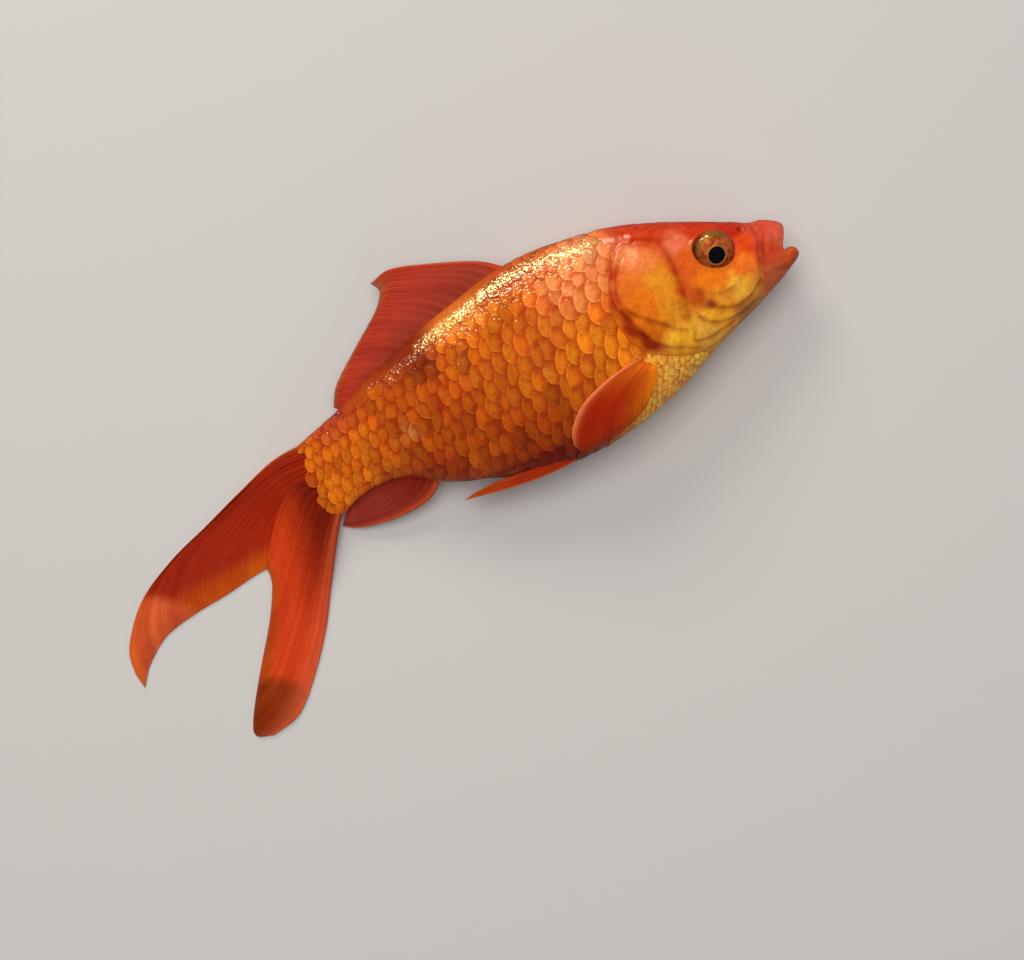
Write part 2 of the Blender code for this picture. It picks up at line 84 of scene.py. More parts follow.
def smooth(at, knots, values=None):
    """A cubic curve through the knots, whose slope at a knot is the mean slope on either side of it."""
    if values is None:
        knots, values = knots[:, 0], knots[:, 1]
    values = np.asarray(values, float)
    slope = np.gradient(values, knots, axis=0)
    at = np.clip(at, knots[0], knots[-1])
    k = np.clip(np.searchsorted(knots, at, side="right") - 1, 0, len(knots) - 2)
    span = knots[k + 1] - knots[k]
    t = (at - knots[k]) / span
    if values.ndim > 1:
        span, t = span[..., None], t[..., None]
    rise = t * t * (3 - 2 * t)
    bend = t * (1 - t) ** 2 * slope[k] - t * t * (1 - t) * slope[k + 1]
    return (1 - rise) * values[k] + rise * values[k + 1] + span * bend


def along(points, count):
    """The curve through some points, as count points evenly spaced in the points' order."""
    points = np.asarray(points, float)
    return smooth(np.linspace(0, 1, count), np.linspace(0, 1, len(points)), points)


def ease(value, low, high):
    """0 below low, 1 above high, and 3 t^2 - 2 t^3 between them."""
    t = np.clip((value - low) / (high - low), 0, 1)
    return t * t * (3 - 2 * t)


def body(x, angle):
    """A point of the body: height goes with the cosine of the angle, thickness with a power of its sine."""
    x, angle = np.broadcast_arrays(np.asarray(x, float), angle)
    back, belly = smooth(x, BACK), smooth(x, BELLY)
    cos, sin = np.cos(angle), np.sin(angle)
    shape = np.where(cos > 0, smooth(x, BACK_SHAPE), smooth(x, BELLY_SHAPE))
    y = (back + belly) / 2 + (back - belly) / 2 * cos
    z = smooth(x, MIDDLE) + smooth(x, HALF_WIDTH) * np.sign(sin) * np.abs(sin) ** shape
    return np.stack([x, y, z], -1)


def flank(x, y):
    """Half the body's thickness at a place in plan: the oval above, solved for its thickness."""
    top, bottom = smooth(x, BACK), smooth(x, BELLY)
    level = np.clip((2 * y - top - bottom) / (top - bottom), -1, 1)
    shape = np.where(level > 0, smooth(x, BACK_SHAPE), smooth(x, BELLY_SHAPE))
    return smooth(x, HALF_WIDTH) * (1 - level**2) ** (shape / 2)


# %% [markdown]
# ## From arrays to meshes
# Every surface in this lesson is an array of points and a few arrays of faces. One helper turns those into
# an object. It checks the sign of the enclosed volume: where that is negative the faces look inwards, so it
# turns them round. Values that the materials need, such as a colour for each point, travel with the mesh as
# attributes.

# %% Make objects from arrays
def signed_volume(points, faces):
    """The volume inside the faces: a sixth of the triple product, summed over a fan of triangles per face."""
    total = 0.0
    for group in faces:
        first = points[group[:, 0]]
        for k in range(1, group.shape[1] - 1):
            total += np.einsum("ij,ij->", first, np.cross(points[group[:, k]], points[group[:, k + 1]]))
    return total / 6


def make_piece(name, points, faces, material, slot, replaced=(), uv=None, sharp=None, **values):
    """An object from points in the plan, in millimetres, and arrays of faces with equal numbers of corners.

    values holds one number, vector or colour for each point, uv one place for each corner of each face. sharp
    says for each face whether it is shaded flat, which keeps it from bending the shading of its neighbours.
    """
    points = points.reshape(-1, 3) - PLAN_MIDDLE
    if signed_volume(points, faces) < 0:
        faces = [group[:, ::-1] for group in faces]
        uv = [group[:, ::-1] for group in uv] if uv is not None else None
    sizes = np.concatenate([np.full(len(group), group.shape[1]) for group in faces])
    corners = np.concatenate([group.ravel() for group in faces])
    mesh = bpy.data.meshes.new(name)
    mesh.vertices.add(len(points))
    mesh.vertices.foreach_set("co", (points * MM).ravel())
    mesh.loops.add(len(corners))
    mesh.loops.foreach_set("vertex_index", corners.astype(np.int32))
    mesh.polygons.add(len(sizes))
    mesh.polygons.foreach_set("loop_start", np.concatenate([[0], np.cumsum(sizes)[:-1]]).astype(np.int32))
    mesh.update(calc_edges=True)
    mesh.validate()
    for key, value in values.items():
        value = np.asarray(value, float)
        kind = {1: "FLOAT", 3: "FLOAT_VECTOR", 4: "FLOAT_COLOR"}[1 if value.ndim == 1 else value.shape[-1]]
        field = {"FLOAT": "value", "FLOAT_VECTOR": "vector", "FLOAT_COLOR": "color"}[kind]
        mesh.attributes.new(key, kind, "POINT").data.foreach_set(field, value.ravel())
    if uv is not None:
        layer = mesh.uv_layers.new(name="OFBake")
        layer.data.foreach_set("uv", np.concatenate([group.reshape(-1, 2) for group in uv]).ravel())
    mesh.shade_smooth()
    if sharp is not None:
        mesh.attributes.new("sharp_face", "BOOLEAN", "FACE").data.foreach_set("value", sharp)
    mesh.materials.append(material)
    piece = bpy.data.objects.new(name, mesh)
    bpy.context.scene.collection.objects.link(piece)
    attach(piece, "root")
    if replaced:
        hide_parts(*replaced)
    print(f"{name}: {len(points)} points, {int((sizes - 2).sum())} triangles")


def grid_faces(rows, columns, start=0, closed=False):
    """Quads between the points of a grid, which closes on itself across the columns where closed is true."""
    at = start + np.arange(rows * columns).reshape(rows, columns)
    if closed:
        at = np.concatenate([at, at[:, :1]], 1)
    return np.stack([at[:-1, :-1], at[1:, :-1], at[1:, 1:], at[:-1, 1:]], -1).reshape(-1, 4)


def grid_normals(points, closed=False):
    """Unit normals of a grid: the cross product of its two slopes, across the seam too where it is closed."""
    if closed:
        points = np.concatenate([points[:, -2:], points, points[:, :2]], 1)
    across = np.cross(np.gradient(points, axis=0), np.gradient(points, axis=1))
    across /= np.maximum(np.linalg.norm(across, axis=-1, keepdims=True), 1e-9)
    return across[:, 2:-2] if closed else across


def colour(red, green, blue):
    """A colour as it looks on a screen, in 0 to 255, turned into the linear light that a material takes."""
    share = np.array((red, green, blue)) / 255
    return np.where(share <= 0.04045, share / 12.92, ((share + 0.055) / 1.055) ** 2.4)


def opaque(tint):
    """One colour with an opacity of 1 for each point, from an array of colours."""
    return np.concatenate([tint, np.ones(tint.shape[:-1] + (1,))], -1).reshape(-1, 4)


# %% [markdown]
# ## Markings
# A goldfish has no hard-edged pattern. Its colours run into each other: red over the crown, gold on the
# cheek and the throat, orange on the flank, amber towards the tail. So each marking is a place, a spread
# and a colour, and the colour anywhere is the mean of them all, weighted by nearness. Skin and scales both
# take their colour here.
# Some markings also carry painted sheen on the upper side and painted shade towards the belly.

# %% Blend the markings
MARKINGS = {
    "crown": (92.5, 13.8, 3.4, (204, 50, 4)),
    "brow": (97.0, 11.0, 2.4, (196, 42, 14)),
    "snout": (102.5, 8.2, 2.4, (216, 78, 54)),
    "upper lip": (106.2, 5.4, 1.8, (212, 92, 64)),
    "mouth side": (102.6, 3.4, 1.6, (196, 68, 36)),
    "before the eye": (98.6, 6.4, 1.8, (236, 76, 18)),
    "nape": (82.0, 17.8, 4.0, (202, 54, 2)),
    # Temple, top of the gill cover and its top edge are pale pink: painted sheen of the wet skin.
    "temple": (86.0, 12.3, 1.7, (232, 114, 78)),
    "behind the eye": (86.2, 8.0, 2.0, (220, 92, 24)),
    "top of the gill cover": (79.0, 12.0, 1.8, (236, 128, 62)),
    "gill cover, top edge": (77.2, 13.5, 1.2, (255, 160, 108)),
    "rear of the gill cover": (73.0, 8.8, 1.4, (228, 110, 30)),
    "middle of the gill cover": (79.6, 6.6, 1.9, (228, 142, 26)),
    "gill cover, towards the rear": (75.0, 5.4, 1.7, (226, 112, 14)),
    "foot of the gill cover": (79.6, 0.8, 1.6, (222, 138, 30)),
    "gill cover, low and rear": (75.0, 1.8, 1.3, (230, 116, 16)),
    "cheek bone": (83.3, 3.4, 0.9, (212, 84, 20)),
    "cheek bone, top": (84.2, 7.6, 1.1, (206, 74, 22)),
    "below the eye": (89.4, 2.4, 2.0, (244, 122, 22)),
    "below the eye, front": (96.0, 2.6, 1.8, (250, 120, 34)),
    "gold cheek": (94.2, -1.2, 1.8, (255, 184, 56)),
    "gold cheek, rear": (89.7, -1.0, 1.4, (240, 148, 40)),
    "corner of the cheek": (87.0, -1.7, 0.75, (150, 54, 28)),
    "foot of the cheek bone": (85.2, 0.6, 0.9, (192, 78, 14)),
    "front of the cheek": (97.6, -0.6, 1.1, (222, 132, 50)),
    "below the gill cover": (79.2, -6.4, 1.8, (255, 186, 44)),
    "under the gill cover, rear": (74.4, -1.9, 1.0, (200, 98, 8)),
    "throat lobe": (88.0, -4.6, 1.8, (255, 178, 42)),
    "throat": (84.4, -8.0, 2.2, (244, 176, 62)),
    "under the jaw": (94.6, -6.0, 2.0, (196, 124, 56)),
    "chin": (101.0, -3.0, 1.8, (198, 94, 56)),
    "lower lip": (107.2, 0.4, 1.5, (208, 84, 34)),
    "gill edge": (69.9, 7.0, 1.2, (208, 66, 16)),
    "gill edge, low": (69.6, 1.0, 1.0, (206, 72, 8)),
    "gill flap": (72.0, 11.4, 1.0, (214, 66, 20)),
    "breast": (72.0, -12.6, 4.2, (255, 184, 74)),
    # The shoulder's pale salmon is painted sheen of the wet skin.
    "shoulder": (65.0, 14.0, 5.0, (252, 144, 84)),
    "flank, front": (64.0, 2.0, 7.0, (226, 116, 12)),
    "back, front": (58.0, 21.0, 4.0, (222, 92, 12)),
    "flank, middle": (46.0, 6.0, 8.0, (204, 94, 2)),
    "flank, middle, front": (56.0, -2.0, 5.0, (212, 106, 10)),
    "back, middle": (41.0, 17.0, 3.4, (248, 138, 38)),
    "back, rear": (28.6, 14.2, 3.6, (150, 50, 12)),
    # Lower flank and belly are dark partly by their own colour and partly by painted shade.
    "flank, low": (48.0, -9.0, 5.0, (172, 66, 0)),
    "belly": (46.0, -16.5, 4.4, (118, 16, 0)),
    "flank, rear": (26.0, 5.0, 6.0, (194, 82, 4)),
    "flank, rear and low": (32.0, -5.0, 4.5, (176, 72, 2)),
    "belly, rear": (26.0, -10.0, 3.5, (170, 56, 4)),
    "stalk": (6.0, 1.0, 5.4, (223, 109, 11)),
    "worn scale, rear": (22.4, 2.0, 1.1, (224, 160, 92)),
    "worn scale": (52.0, 0.6, 0.8, (212, 148, 66)),
    "stalk, top": (8.0, 11.0, 3.0, (190, 70, 30)),
    "tail root": (-4.0, 1.0, 2.6, (180, 60, 10)),
}


# The slit behind the gill cover holds shadow, painted as a dark line: a run of small marks along a curve.
CLEFT = [(70.2, 4.0), (70.5, 1.8), (71.1, -0.4), (71.9, -2.5), (73.2, -4.3)]
for k, (x, y) in enumerate(along(CLEFT, 9)):
    MARKINGS[f"gill cleft {k}"] = (x, y, 0.75, (158, 40, 0))


def ripples(x, y, size, seed):
    """Gentle unevenness, mostly from -1 to 1: a quarter of the sum of seven waves in seeded directions."""
    dice = np.random.default_rng(seed)
    total = np.zeros(x.shape)
    for turn, phase, stretch in dice.uniform((0, 0, 0.7), (np.pi, 2 * np.pi, 1.5), (7, 3)):
        total += np.sin(2 * np.pi * (x * np.cos(turn) + y * np.sin(turn)) / (size * stretch) + phase)
    return total / 4


def markings(x, y):
    """The blended colour at places in plan: each marking weighs (1 + d^2 / spread^2)^-3.

    Ripples shift the places a little first, which bends the markings' edges.
    """
    names = list(MARKINGS)
    place = np.array([MARKINGS[name][:2] for name in names])
    spread = np.array([MARKINGS[name][2] for name in names])
    tints = np.array([colour(*MARKINGS[name][3]) for name in names])
    x, y = x + 0.5 * ripples(x, y, 4.5, 3), y + 0.5 * ripples(x, y, 4.5, 4)
    gap = np.hypot(x[..., None] - place[:, 0], y[..., None] - place[:, 1]) / spread
    weight = (1 + gap**2) ** -3.0
    return (weight @ tints) / weight.sum(-1, keepdims=True)


print("markings:", len(MARKINGS))


# %% [markdown]
# ## Folds and plates of the head
# A fish's head is thin skin over bony plates, and each plate's edge shows as a low step with a dark line
# under it, which is painted shade. Drawing these steps by hand would take a sculptor. Here each is a curve in
# the plan with a height: on one side of the curve the skin stands up and slopes away, on the other it dips.
# Pits and rims are rings round a place.

# %% Folds, plates, pits and rims
# Each fold: height of the step, how far it fades, how dark and how wide its painted shadow is, and its
# curve. The left side of the curve is the raised one.
FOLDS = {
    "gill membrane": (0.65, 3.0, 1.0, 1.1, [(78.4, 16.2), (76.6, 16.5), (74.8, 15.6), (73.2, 14.0),
        (71.8, 11.8), (70.5, 9.4), (69.7, 7.2), (69.9, 5.2), (70.8, 3.0), (71.5, 1.0), (72.2, -1.2),
        (73.5, -3.5), (75.6, -5.6), (78.6, -7.2), (82.0, -8.4), (85.6, -9.3), (88.6, -8.8)]),
    "shoulder rim": (0.30, 0.8, 1.0, 0.8, [(79.6, -8.7), (75.8, -7.2), (72.8, -5.2), (70.8, -2.6),
        (69.7, 0.2), (69.1, 3.0), (69.0, 5.6)]),
    "gill cover": (0.50, 4.0, 0.8, 0.4, [(76.6, 15.0), (75.6, 13.8), (73.9, 12.5), (72.4, 10.8),
        (71.4, 8.8), (71.0, 6.6), (71.4, 4.6), (72.2, 3.1), (73.5, 1.7), (75.2, 0.2), (77.2, -1.7),
        (78.8, -3.3), (80.8, -4.2), (82.4, -3.6)]),
    "gill cover, top": (0.3, 3.0, 0.35, 0.3, [(84.6, 12.9), (82.6, 13.5), (80.4, 14.0), (78.4, 14.4),
        (76.6, 15.0)]),
    "cheek bone": (-0.60, 1.6, 0.7, 0.6, [(84.6, 12.8), (83.8, 10.1), (83.6, 7.0), (83.2, 3.3),
        (82.8, 0.1), (82.2, -2.4), (81.9, -4.6)]),
    "below the eye": (0.25, 2.5, 0.25, 0.5, [(84.6, 11.2), (84.0, 7.8), (84.4, 5.2), (85.3, 3.0),
        (87.0, 1.1), (89.4, -0.5), (92.0, -0.6), (95.0, 0.4), (98.6, 1.6)]),
    "cheek": (0.60, 2.5, 0.8, 0.42, [(86.4, -0.6), (87.3, -2.2), (88.9, -3.1), (90.5, -3.7), (92.5, -3.8),
        (95.2, -3.2), (97.0, -2.4), (98.4, -1.2), (98.9, 0.4)]),
    "throat, first": (0.50, 2.0, 0.85, 0.32, [(84.4, -1.8), (84.2, -3.0), (85.1, -4.3), (87.3, -5.4),
        (89.8, -5.6), (93.3, -5.1), (95.9, -4.6), (98.1, -4.0)]),
    "throat, second": (0.45, 1.8, 0.8, 0.32, [(82.8, -3.9), (82.3, -5.3), (81.4, -6.6), (83.8, -7.2),
        (87.1, -6.9), (90.8, -6.2), (93.5, -5.6), (97.4, -5.0)]),
    "throat, third": (0.35, 1.6, 0.6, 0.25, [(79.1, -8.0), (82.3, -9.1), (85.3, -8.9), (88.7, -7.9),
        (92.0, -7.0), (95.2, -6.2)]),
    "maxilla": (0.40, 2.6, 0.4, 0.5, [(98.2, -2.2), (98.9, 0.2), (99.9, 3.0), (100.8, 4.8), (101.3, 6.6),
        (101.3, 8.4), (100.6, 10.4)]),
    "lip, first": (0.26, 0.9, 0.35, 0.25, [(100.7, 1.6), (101.2, 3.2), (102.1, 5.0), (103.6, 7.6)]),
    "lip, second": (0.24, 0.8, 0.3, 0.25, [(102.4, 1.8), (103.0, 3.0), (104.0, 4.8), (105.2, 6.9)]),
    "lip, third": (0.15, 0.7, 0.2, 0.2, [(104.2, 2.6), (104.9, 3.6), (105.8, 5.0), (106.4, 6.2)]),
    "lower lip": (0.25, 1.2, 0.6, 0.25, [(101.9, -0.6), (103.0, -1.0), (104.2, -1.2), (105.1, -1.2),
        (106.3, -0.9), (107.7, -0.4)]),
    "nostril": (0.3, 1.4, 0.5, 0.25, [(95.6, 10.8), (96.8, 9.6), (97.9, 8.6), (99.4, 8.8), (100.8, 9.0)]),
    "before the eye": (0.2, 1.6, 0.3, 0.3, [(99.8, 4.4), (98.6, 4.3), (97.8, 4.9), (97.7, 6.5),
        (97.5, 8.1)]),
    "temple": (0.3, 2.4, 0.45, 0.25, [(77.4, 16.2), (79.4, 16.3), (81.8, 15.0), (84.6, 13.8),
        (87.6, 12.4)]),
    "upper jaw, foot": (-0.3, 1.0, 0.5, 0.25, [(99.2, 0.4), (99.5, -0.3), (100.1, -0.9), (101.0, -0.9),
        (102.2, -0.6), (103.4, 0.0)]),
}
EYE_PLACE = np.array((92.1, 7.45))
EYE_OPENING = np.array((4.05, 3.3))  # half axes of the opening in the skin
EYE_OPENING_TURN = math.radians(-35)
EYE_RIM, SOCKET_DEPTH = 0.30, 3.0  # the lid stands this high, and the socket sinks this deep
NOSTRIL = np.array((99.1, 9.1))
NOSTRIL_RIM_REACH, NOSTRIL_REACH = 0.75, 0.42
FADE_OUT = 0.2  # a fold fades in and out over this share of its length
DIP, DIP_FADE = 0.45, 0.22  # depth and fade of the dip beside a step, as shares of the step's own


def side_of(line, x, y):
    """Signed distance to a curve, positive on its left, and how far along it the nearest point is, 0 to 1."""
    line = along(line, 6 * len(line))
    start, step = line[:-1], np.diff(line, axis=0)
    best = np.full(x.shape, np.inf)
    signed, share = np.zeros(x.shape), np.zeros(x.shape)
    for k, (a, d) in enumerate(zip(start, step)):
        t = np.clip(((x - a[0]) * d[0] + (y - a[1]) * d[1]) / (d @ d), 0, 1)
        gap_x, gap_y = x - a[0] - t * d[0], y - a[1] - t * d[1]
        gap = np.hypot(gap_x, gap_y)
        near = gap < best
        best = np.where(near, gap, best)
        signed = np.where(near, np.sign(d[0] * gap_y - d[1] * gap_x) * gap, signed)
        share = np.where(near, (k + t) / len(step), share)
    return signed, share


def eye_reach(x, y):
    """Distance from the eye's middle as a share of its opening, an ellipse turned in the plan."""
    dx, dy = x - EYE_PLACE[0], y - EYE_PLACE[1]
    cos, sin = math.cos(EYE_OPENING_TURN), math.sin(EYE_OPENING_TURN)
    return np.hypot((dx * cos + dy * sin) / EYE_OPENING[0], (dy * cos - dx * sin) / EYE_OPENING[1])


def head_relief(x, y):
    """Height of the folds over the plain head, in millimetres, and the painted shade in the creases, 0 to 1.

    Left of a fold: height * exp(-d / fade), rounded off at the edge. Right of it: a dip that fades faster.
    """
    height, dark = np.zeros(x.shape), np.zeros(x.shape)
    uneven = 0.75 + 0.25 * ripples(x, y, 3.1, 5)
    for rise, fade, depth, width, line in FOLDS.values():
        signed, share = side_of(line, x, y)
        ends = ease(share, 0, FADE_OUT) * ease(1 - share, 0, FADE_OUT) * uneven
        left, right = np.maximum(signed, 0), np.maximum(-signed, 0)
        up = rise * np.exp(-left / fade) * (1 - 0.5 * np.exp(-left / 0.45))
        down = -DIP * abs(rise) * np.exp(-right / (DIP_FADE * fade))
        turn = ease(signed, -0.32, 0.26)
        height += ends * (turn * up + (1 - turn) * down) * np.exp(-((signed / (4 * fade)) ** 4))
        # Beside each step lies painted shade: a wide soft shadow on the dipped side and a thin dark line at
        # its foot.
        wide_shadow = 0.82 * np.exp(-((signed + 0.9 * width) / (1.7 * width)) ** 2) * (0.6 + 0.4 * uneven)
        thin_line = 0.32 * np.exp(-((signed + 0.12) / 0.17) ** 2)
        dark = np.maximum(dark, ends * depth * np.minimum(wide_shadow + thin_line, 1))
    height += 0.045 * ripples(x, y, 3.2, 8) + 0.016 * ripples(x, y, 1.1, 9)
    reach = eye_reach(x, y)
    rim = EYE_RIM * np.exp(-((reach - 1.12) / 0.10) ** 2)
    sunk = -SOCKET_DEPTH * ease(1.04 - reach, 0.0, 0.12)
    height = height * ease(reach, 1.0, 1.25) + rim + sunk
    below = 0.35 + 0.65 * ease(EYE_PLACE[1] - y, -1.0, 2.5)  # the socket's shadow is deepest under the eye
    dark = np.maximum(dark * ease(reach, 1.0, 1.2), 0.9 * below * ease(1.13 - reach, 0, 0.08))
    pit = np.hypot(x - NOSTRIL[0], y - NOSTRIL[1])
    hole = np.exp(-((pit / NOSTRIL_REACH) ** 2))
    height += 0.20 * np.exp(-((pit - NOSTRIL_RIM_REACH) / 0.25) ** 2) - 0.70 * hole
    # The nostril's pit gets painted shade too.
    return height, np.maximum(dark, 0.9 * hole)


# %% [markdown]
# ## The skin
# One closed surface goes from the tail's root to the inside of the mouth. It is a stack of rings: in the
# trunk a ring is the body's oval, and at the mouth the rings' upper and lower points travel round the two
# lips and back inwards. Rings lie close together on the head, where the folds are, and further apart under
# the scales.

# %% Work out the skin
SCALE_DEPTH = 0.5  # the skin lies this far inside the body where scales cover it
TRUNK_RINGS, HEAD_RINGS, LIP_RINGS, SKIN_CORNERS = 74, 162, 56, 340
HEAD_START = 64.0  # rings lie closer together from here on


def skin_rings():
    """Back, belly, half thickness and setback of the corner for each ring, from tail to mouth."""
    x = np.concatenate([np.linspace(-5, HEAD_START, TRUNK_RINGS, endpoint=False),
                        np.linspace(HEAD_START, LIPS_START, HEAD_RINGS)])
    back = np.vstack([np.stack([x, smooth(x, BACK)], 1), along(UPPER_LIP, LIP_RINGS)[1:]])
    belly = np.vstack([np.stack([x, smooth(x, BELLY)], 1), along(LOWER_LIP, LIP_RINGS)[1:]])
    half = np.concatenate([smooth(x, HALF_WIDTH), along(LIP_HALF_WIDTH, LIP_RINGS)[1:]])
    setback = np.clip((back[:, 0] - CORNER_START) / (LIPS_START - CORNER_START), 0, 1) ** 1.5
    setback[len(x):] = np.interp(np.arange(1, LIP_RINGS), (0, 0.7 * LIP_RINGS, LIP_RINGS - 1), (1, 1, 0))
    return back, belly, half, setback


DORSAL_BAND = 1.9  # the smooth band beside the dorsal fin's base
BAND_SHOWS = 0.3  # where the band is narrower than this it is left out
FIRST_FOLDED_RING, LAST_FOLDED_RING = 60, TRUNK_RINGS + HEAD_RINGS + LIP_RINGS - 31
GILL_RAYS_FROM = (84.0, 9.0)  # fine rays on the gill cover spread from here


def dorsal_band(x):
    """Width of the smooth band beside the dorsal fin, which runs out at both of its ends."""
    return DORSAL_BAND * ease(x, 9.0, 13.0) * ease(57.0 - x, 0.0, 5.0)


def scaled(x, y):
    """1 where scales cover the body and 0 on the head, with a short slope along the gill line."""
    signed, _ = side_of(GILL_LINE, x, y)
    bare = ease(y - smooth(x, BACK) + dorsal_band(x), -0.5, 0.3) * (dorsal_band(x) > BAND_SHOWS)
    slope = 0.35 + NAPE_SLOPE * ease(y, *NAPE)
    return ease(-signed, -0.1, slope) * (1 - 0.8 * bare)


def body_rings():
    """The smooth body as an array of ring, corner and coordinate, with its normals and its half thickness.

    A ring is the oval between its points on back and belly, pulled back at the corners of the mouth.
    """
    back, belly, half, setback = skin_rings()
    angle = np.linspace(0, 2 * np.pi, SKIN_CORNERS, endpoint=False)
    cos, sin = np.cos(angle), np.sin(angle)
    x = (back[:, 0] + belly[:, 0]) / 2
    shape = np.where(cos > 0, smooth(x, BACK_SHAPE)[:, None], smooth(x, BELLY_SHAPE)[:, None])
    plan = (back + belly)[:, None] / 2 + (back - belly)[:, None] / 2 * cos[None, :, None]
    wedge = 1 - np.sqrt((cos**2 + 0.06) / 1.06)
    corner = np.array((CORNER_SETBACK, CORNER_DROP)) / wedge.max()
    plan -= setback[:, None, None] * wedge[None, :, None] * corner
    z = smooth(x, MIDDLE)[:, None] + half[:, None] * np.sign(sin) * np.abs(sin) ** shape
    points = np.concatenate([plan, z[..., None]], 2)
    normal = grid_normals(points, closed=True)
    from_middle = points[TRUNK_RINGS] - points[TRUNK_RINGS].mean(0)
    return points, normal * np.sign((normal[TRUNK_RINGS] * from_middle).sum()), half


def speckled(px, py):
    """How much lighter or darker the skin is than its marking: grain, gill rays and the crown's streaks."""
    speckle = 0.09 * ripples(px, py, 1.6, 31) + 0.08 * ripples(px, py, 0.8, 32)
    out_x, out_y = px - GILL_RAYS_FROM[0], py - GILL_RAYS_FROM[1]
    fan_of_rays = ripples(np.arctan2(out_y, -out_x) * 9, 0.12 * np.hypot(out_x, out_y), 1.0, 34)
    on_cover = ease(-out_x, 0.5, 3.0) * ease(px, 70.0, 72.0) * ease(13.5 - py, 0.0, 2.0)
    streak = 0.30 * ripples(0.35 * px, py, 1.3, 33) * ease(py - 0.3 * (90 - px), 10.5, 14.0)
    return speckle + 0.13 * fan_of_rays * on_cover + streak


def make_skin_points():
    """The skin's points, each point's colour and painted crease shade: the smooth body moved along its
    normals.
    """
    points, normal, half = body_rings()
    px, py = points[..., 0], points[..., 1]
    relief, dark = np.zeros(px.shape), np.zeros(px.shape)
    head = slice(FIRST_FOLDED_RING, LAST_FOLDED_RING)
    relief[head], dark[head] = head_relief(px[head], py[head])
    relief -= SCALE_DEPTH * scaled(px, py) * ease(half[:, None], 0.3, 2.0)
    points = points + normal * relief[..., None]
    points[..., 2] = np.maximum(points[..., 2], 0.0)
    # Beside the dorsal fin's root the crease value also holds painted shade.
    under_fin = (py - smooth(px, BACK) + 0.4 * DORSAL_BAND) / DORSAL_BAND
    near_fin = np.exp(-(under_fin**2)) * (dorsal_band(px) > BAND_SHOWS)
    tint = markings(px, py) * (1 + speckled(px, py)[..., None] * np.array((0.25, 1.0, 1.2)))
    return points, np.clip(tint, 0, 1), np.maximum(dark, 0.45 * near_fin)


points, tint, crease = make_skin_points()
print("skin grid:", points.shape)


# %% [markdown]
# ## Finishes
# A live fish is wet, so skin and scales have a thin clear coat over a softer base. Fins lie flat and would
# only mirror the room, so theirs is a plain soft gloss. What differs is what lies under it: mottled skin,
# scales with a bright rim, or rays with a thinner web between them. Effects that several materials use are
# node groups, built once. A group hands out colours, masks and heights, and the shader itself stays in the
# material.

# %% Small helpers for nodes
def feed(tree, sockets, inputs):
    """Give each named socket its value, or a link where the value is another node's socket."""
    for key, value in inputs.items():
        if isinstance(value, bpy.types.NodeSocket):
            tree.links.new(value, sockets[key])
        else:
            sockets[key].default_value = value


def node(tree, kind, inputs=None, **settings):
    """A node with its settings made, and each input either linked to a socket or set to a value."""
    made = tree.nodes.new(kind)
    for key, value in settings.items():
        setattr(made, key, value)
    feed(tree, made.inputs, inputs or {})
    return made


def number(tree, operation, first, second=0.0):
    """The result of one sum on numbers."""
    return node(tree, "ShaderNodeMath", {0: first, 1: second}, operation=operation).outputs[0]


def times(tree, first, second):
    """first * second"""
    return number(tree, "MULTIPLY", first, second)


def plus(tree, first, second):
    """first + second"""
    return number(tree, "ADD", first, second)


def less(tree, first, second):
    """first - second"""
    return number(tree, "SUBTRACT", first, second)


def ramp(tree, value, low, high, to_low=0.0, to_high=1.0):
    """A smooth step of a value, from one number to another."""
    sockets = {"Value": value, "From Min": low, "From Max": high, "To Min": to_low, "To Max": to_high}
    return node(tree, "ShaderNodeMapRange", sockets, interpolation_type="SMOOTHSTEP").outputs["Result"]


def blend(tree, share, first, second, mode="MIX"):
    """Two colours mixed by a share."""
    made = node(tree, "ShaderNodeMix", data_type="RGBA", blend_type=mode)
    layers = [value if isinstance(value, bpy.types.NodeSocket) else (*value, 1) for value in (first, second)]
    feed(tree, made.inputs, {0: share, 6: layers[0], 7: layers[1]})
    return made.outputs[2]


def tinted(tree, base, tint):
    """A colour multiplied by another."""
    return blend(tree, 1.0, base, tint, "MULTIPLY")


def stored(tree, name, socket):
    """A value that travels with the mesh."""
    return node(tree, "ShaderNodeAttribute", attribute_name=name).outputs[socket]


def noise(tree, size, detail):
    """Noise in the object's own space: features of about 1 / size metres, with finer layers by detail."""
    spot = node(tree, "ShaderNodeTexCoord").outputs["Object"]
    return node(tree, "ShaderNodeTexNoise", {"Vector": spot, "Scale": size, "Detail": detail}).outputs["Fac"]


def bumped(tree, strength, distance, height):
    """A normal tilted by a height."""
    sockets = {"Strength": strength, "Distance": distance, "Height": height}
    return node(tree, "ShaderNodeBump", sockets).outputs["Normal"]


def start_group(name, inputs, outputs):
    """A new node group with its sockets, given as name: default, or as name: None for a vector."""
    kinds = {float: "NodeSocketFloat", tuple: "NodeSocketColor", type(None): "NodeSocketVector"}
    group = bpy.data.node_groups.new(name, "ShaderNodeTree")
    for key, value in inputs.items():
        socket = group.interface.new_socket(key, in_out="INPUT", socket_type=kinds[type(value)])
        if value is not None:
            socket.default_value = value
    for key, value in outputs.items():
        group.interface.new_socket(key, in_out="OUTPUT", socket_type=kinds[type(value)])
    return group, node(group, "NodeGroupInput").outputs, node(group, "NodeGroupOutput").inputs


def place_group(tree, group, inputs):
    """The outputs of a group placed in a tree."""
    return node(tree, "ShaderNodeGroup", inputs, node_tree=group).outputs


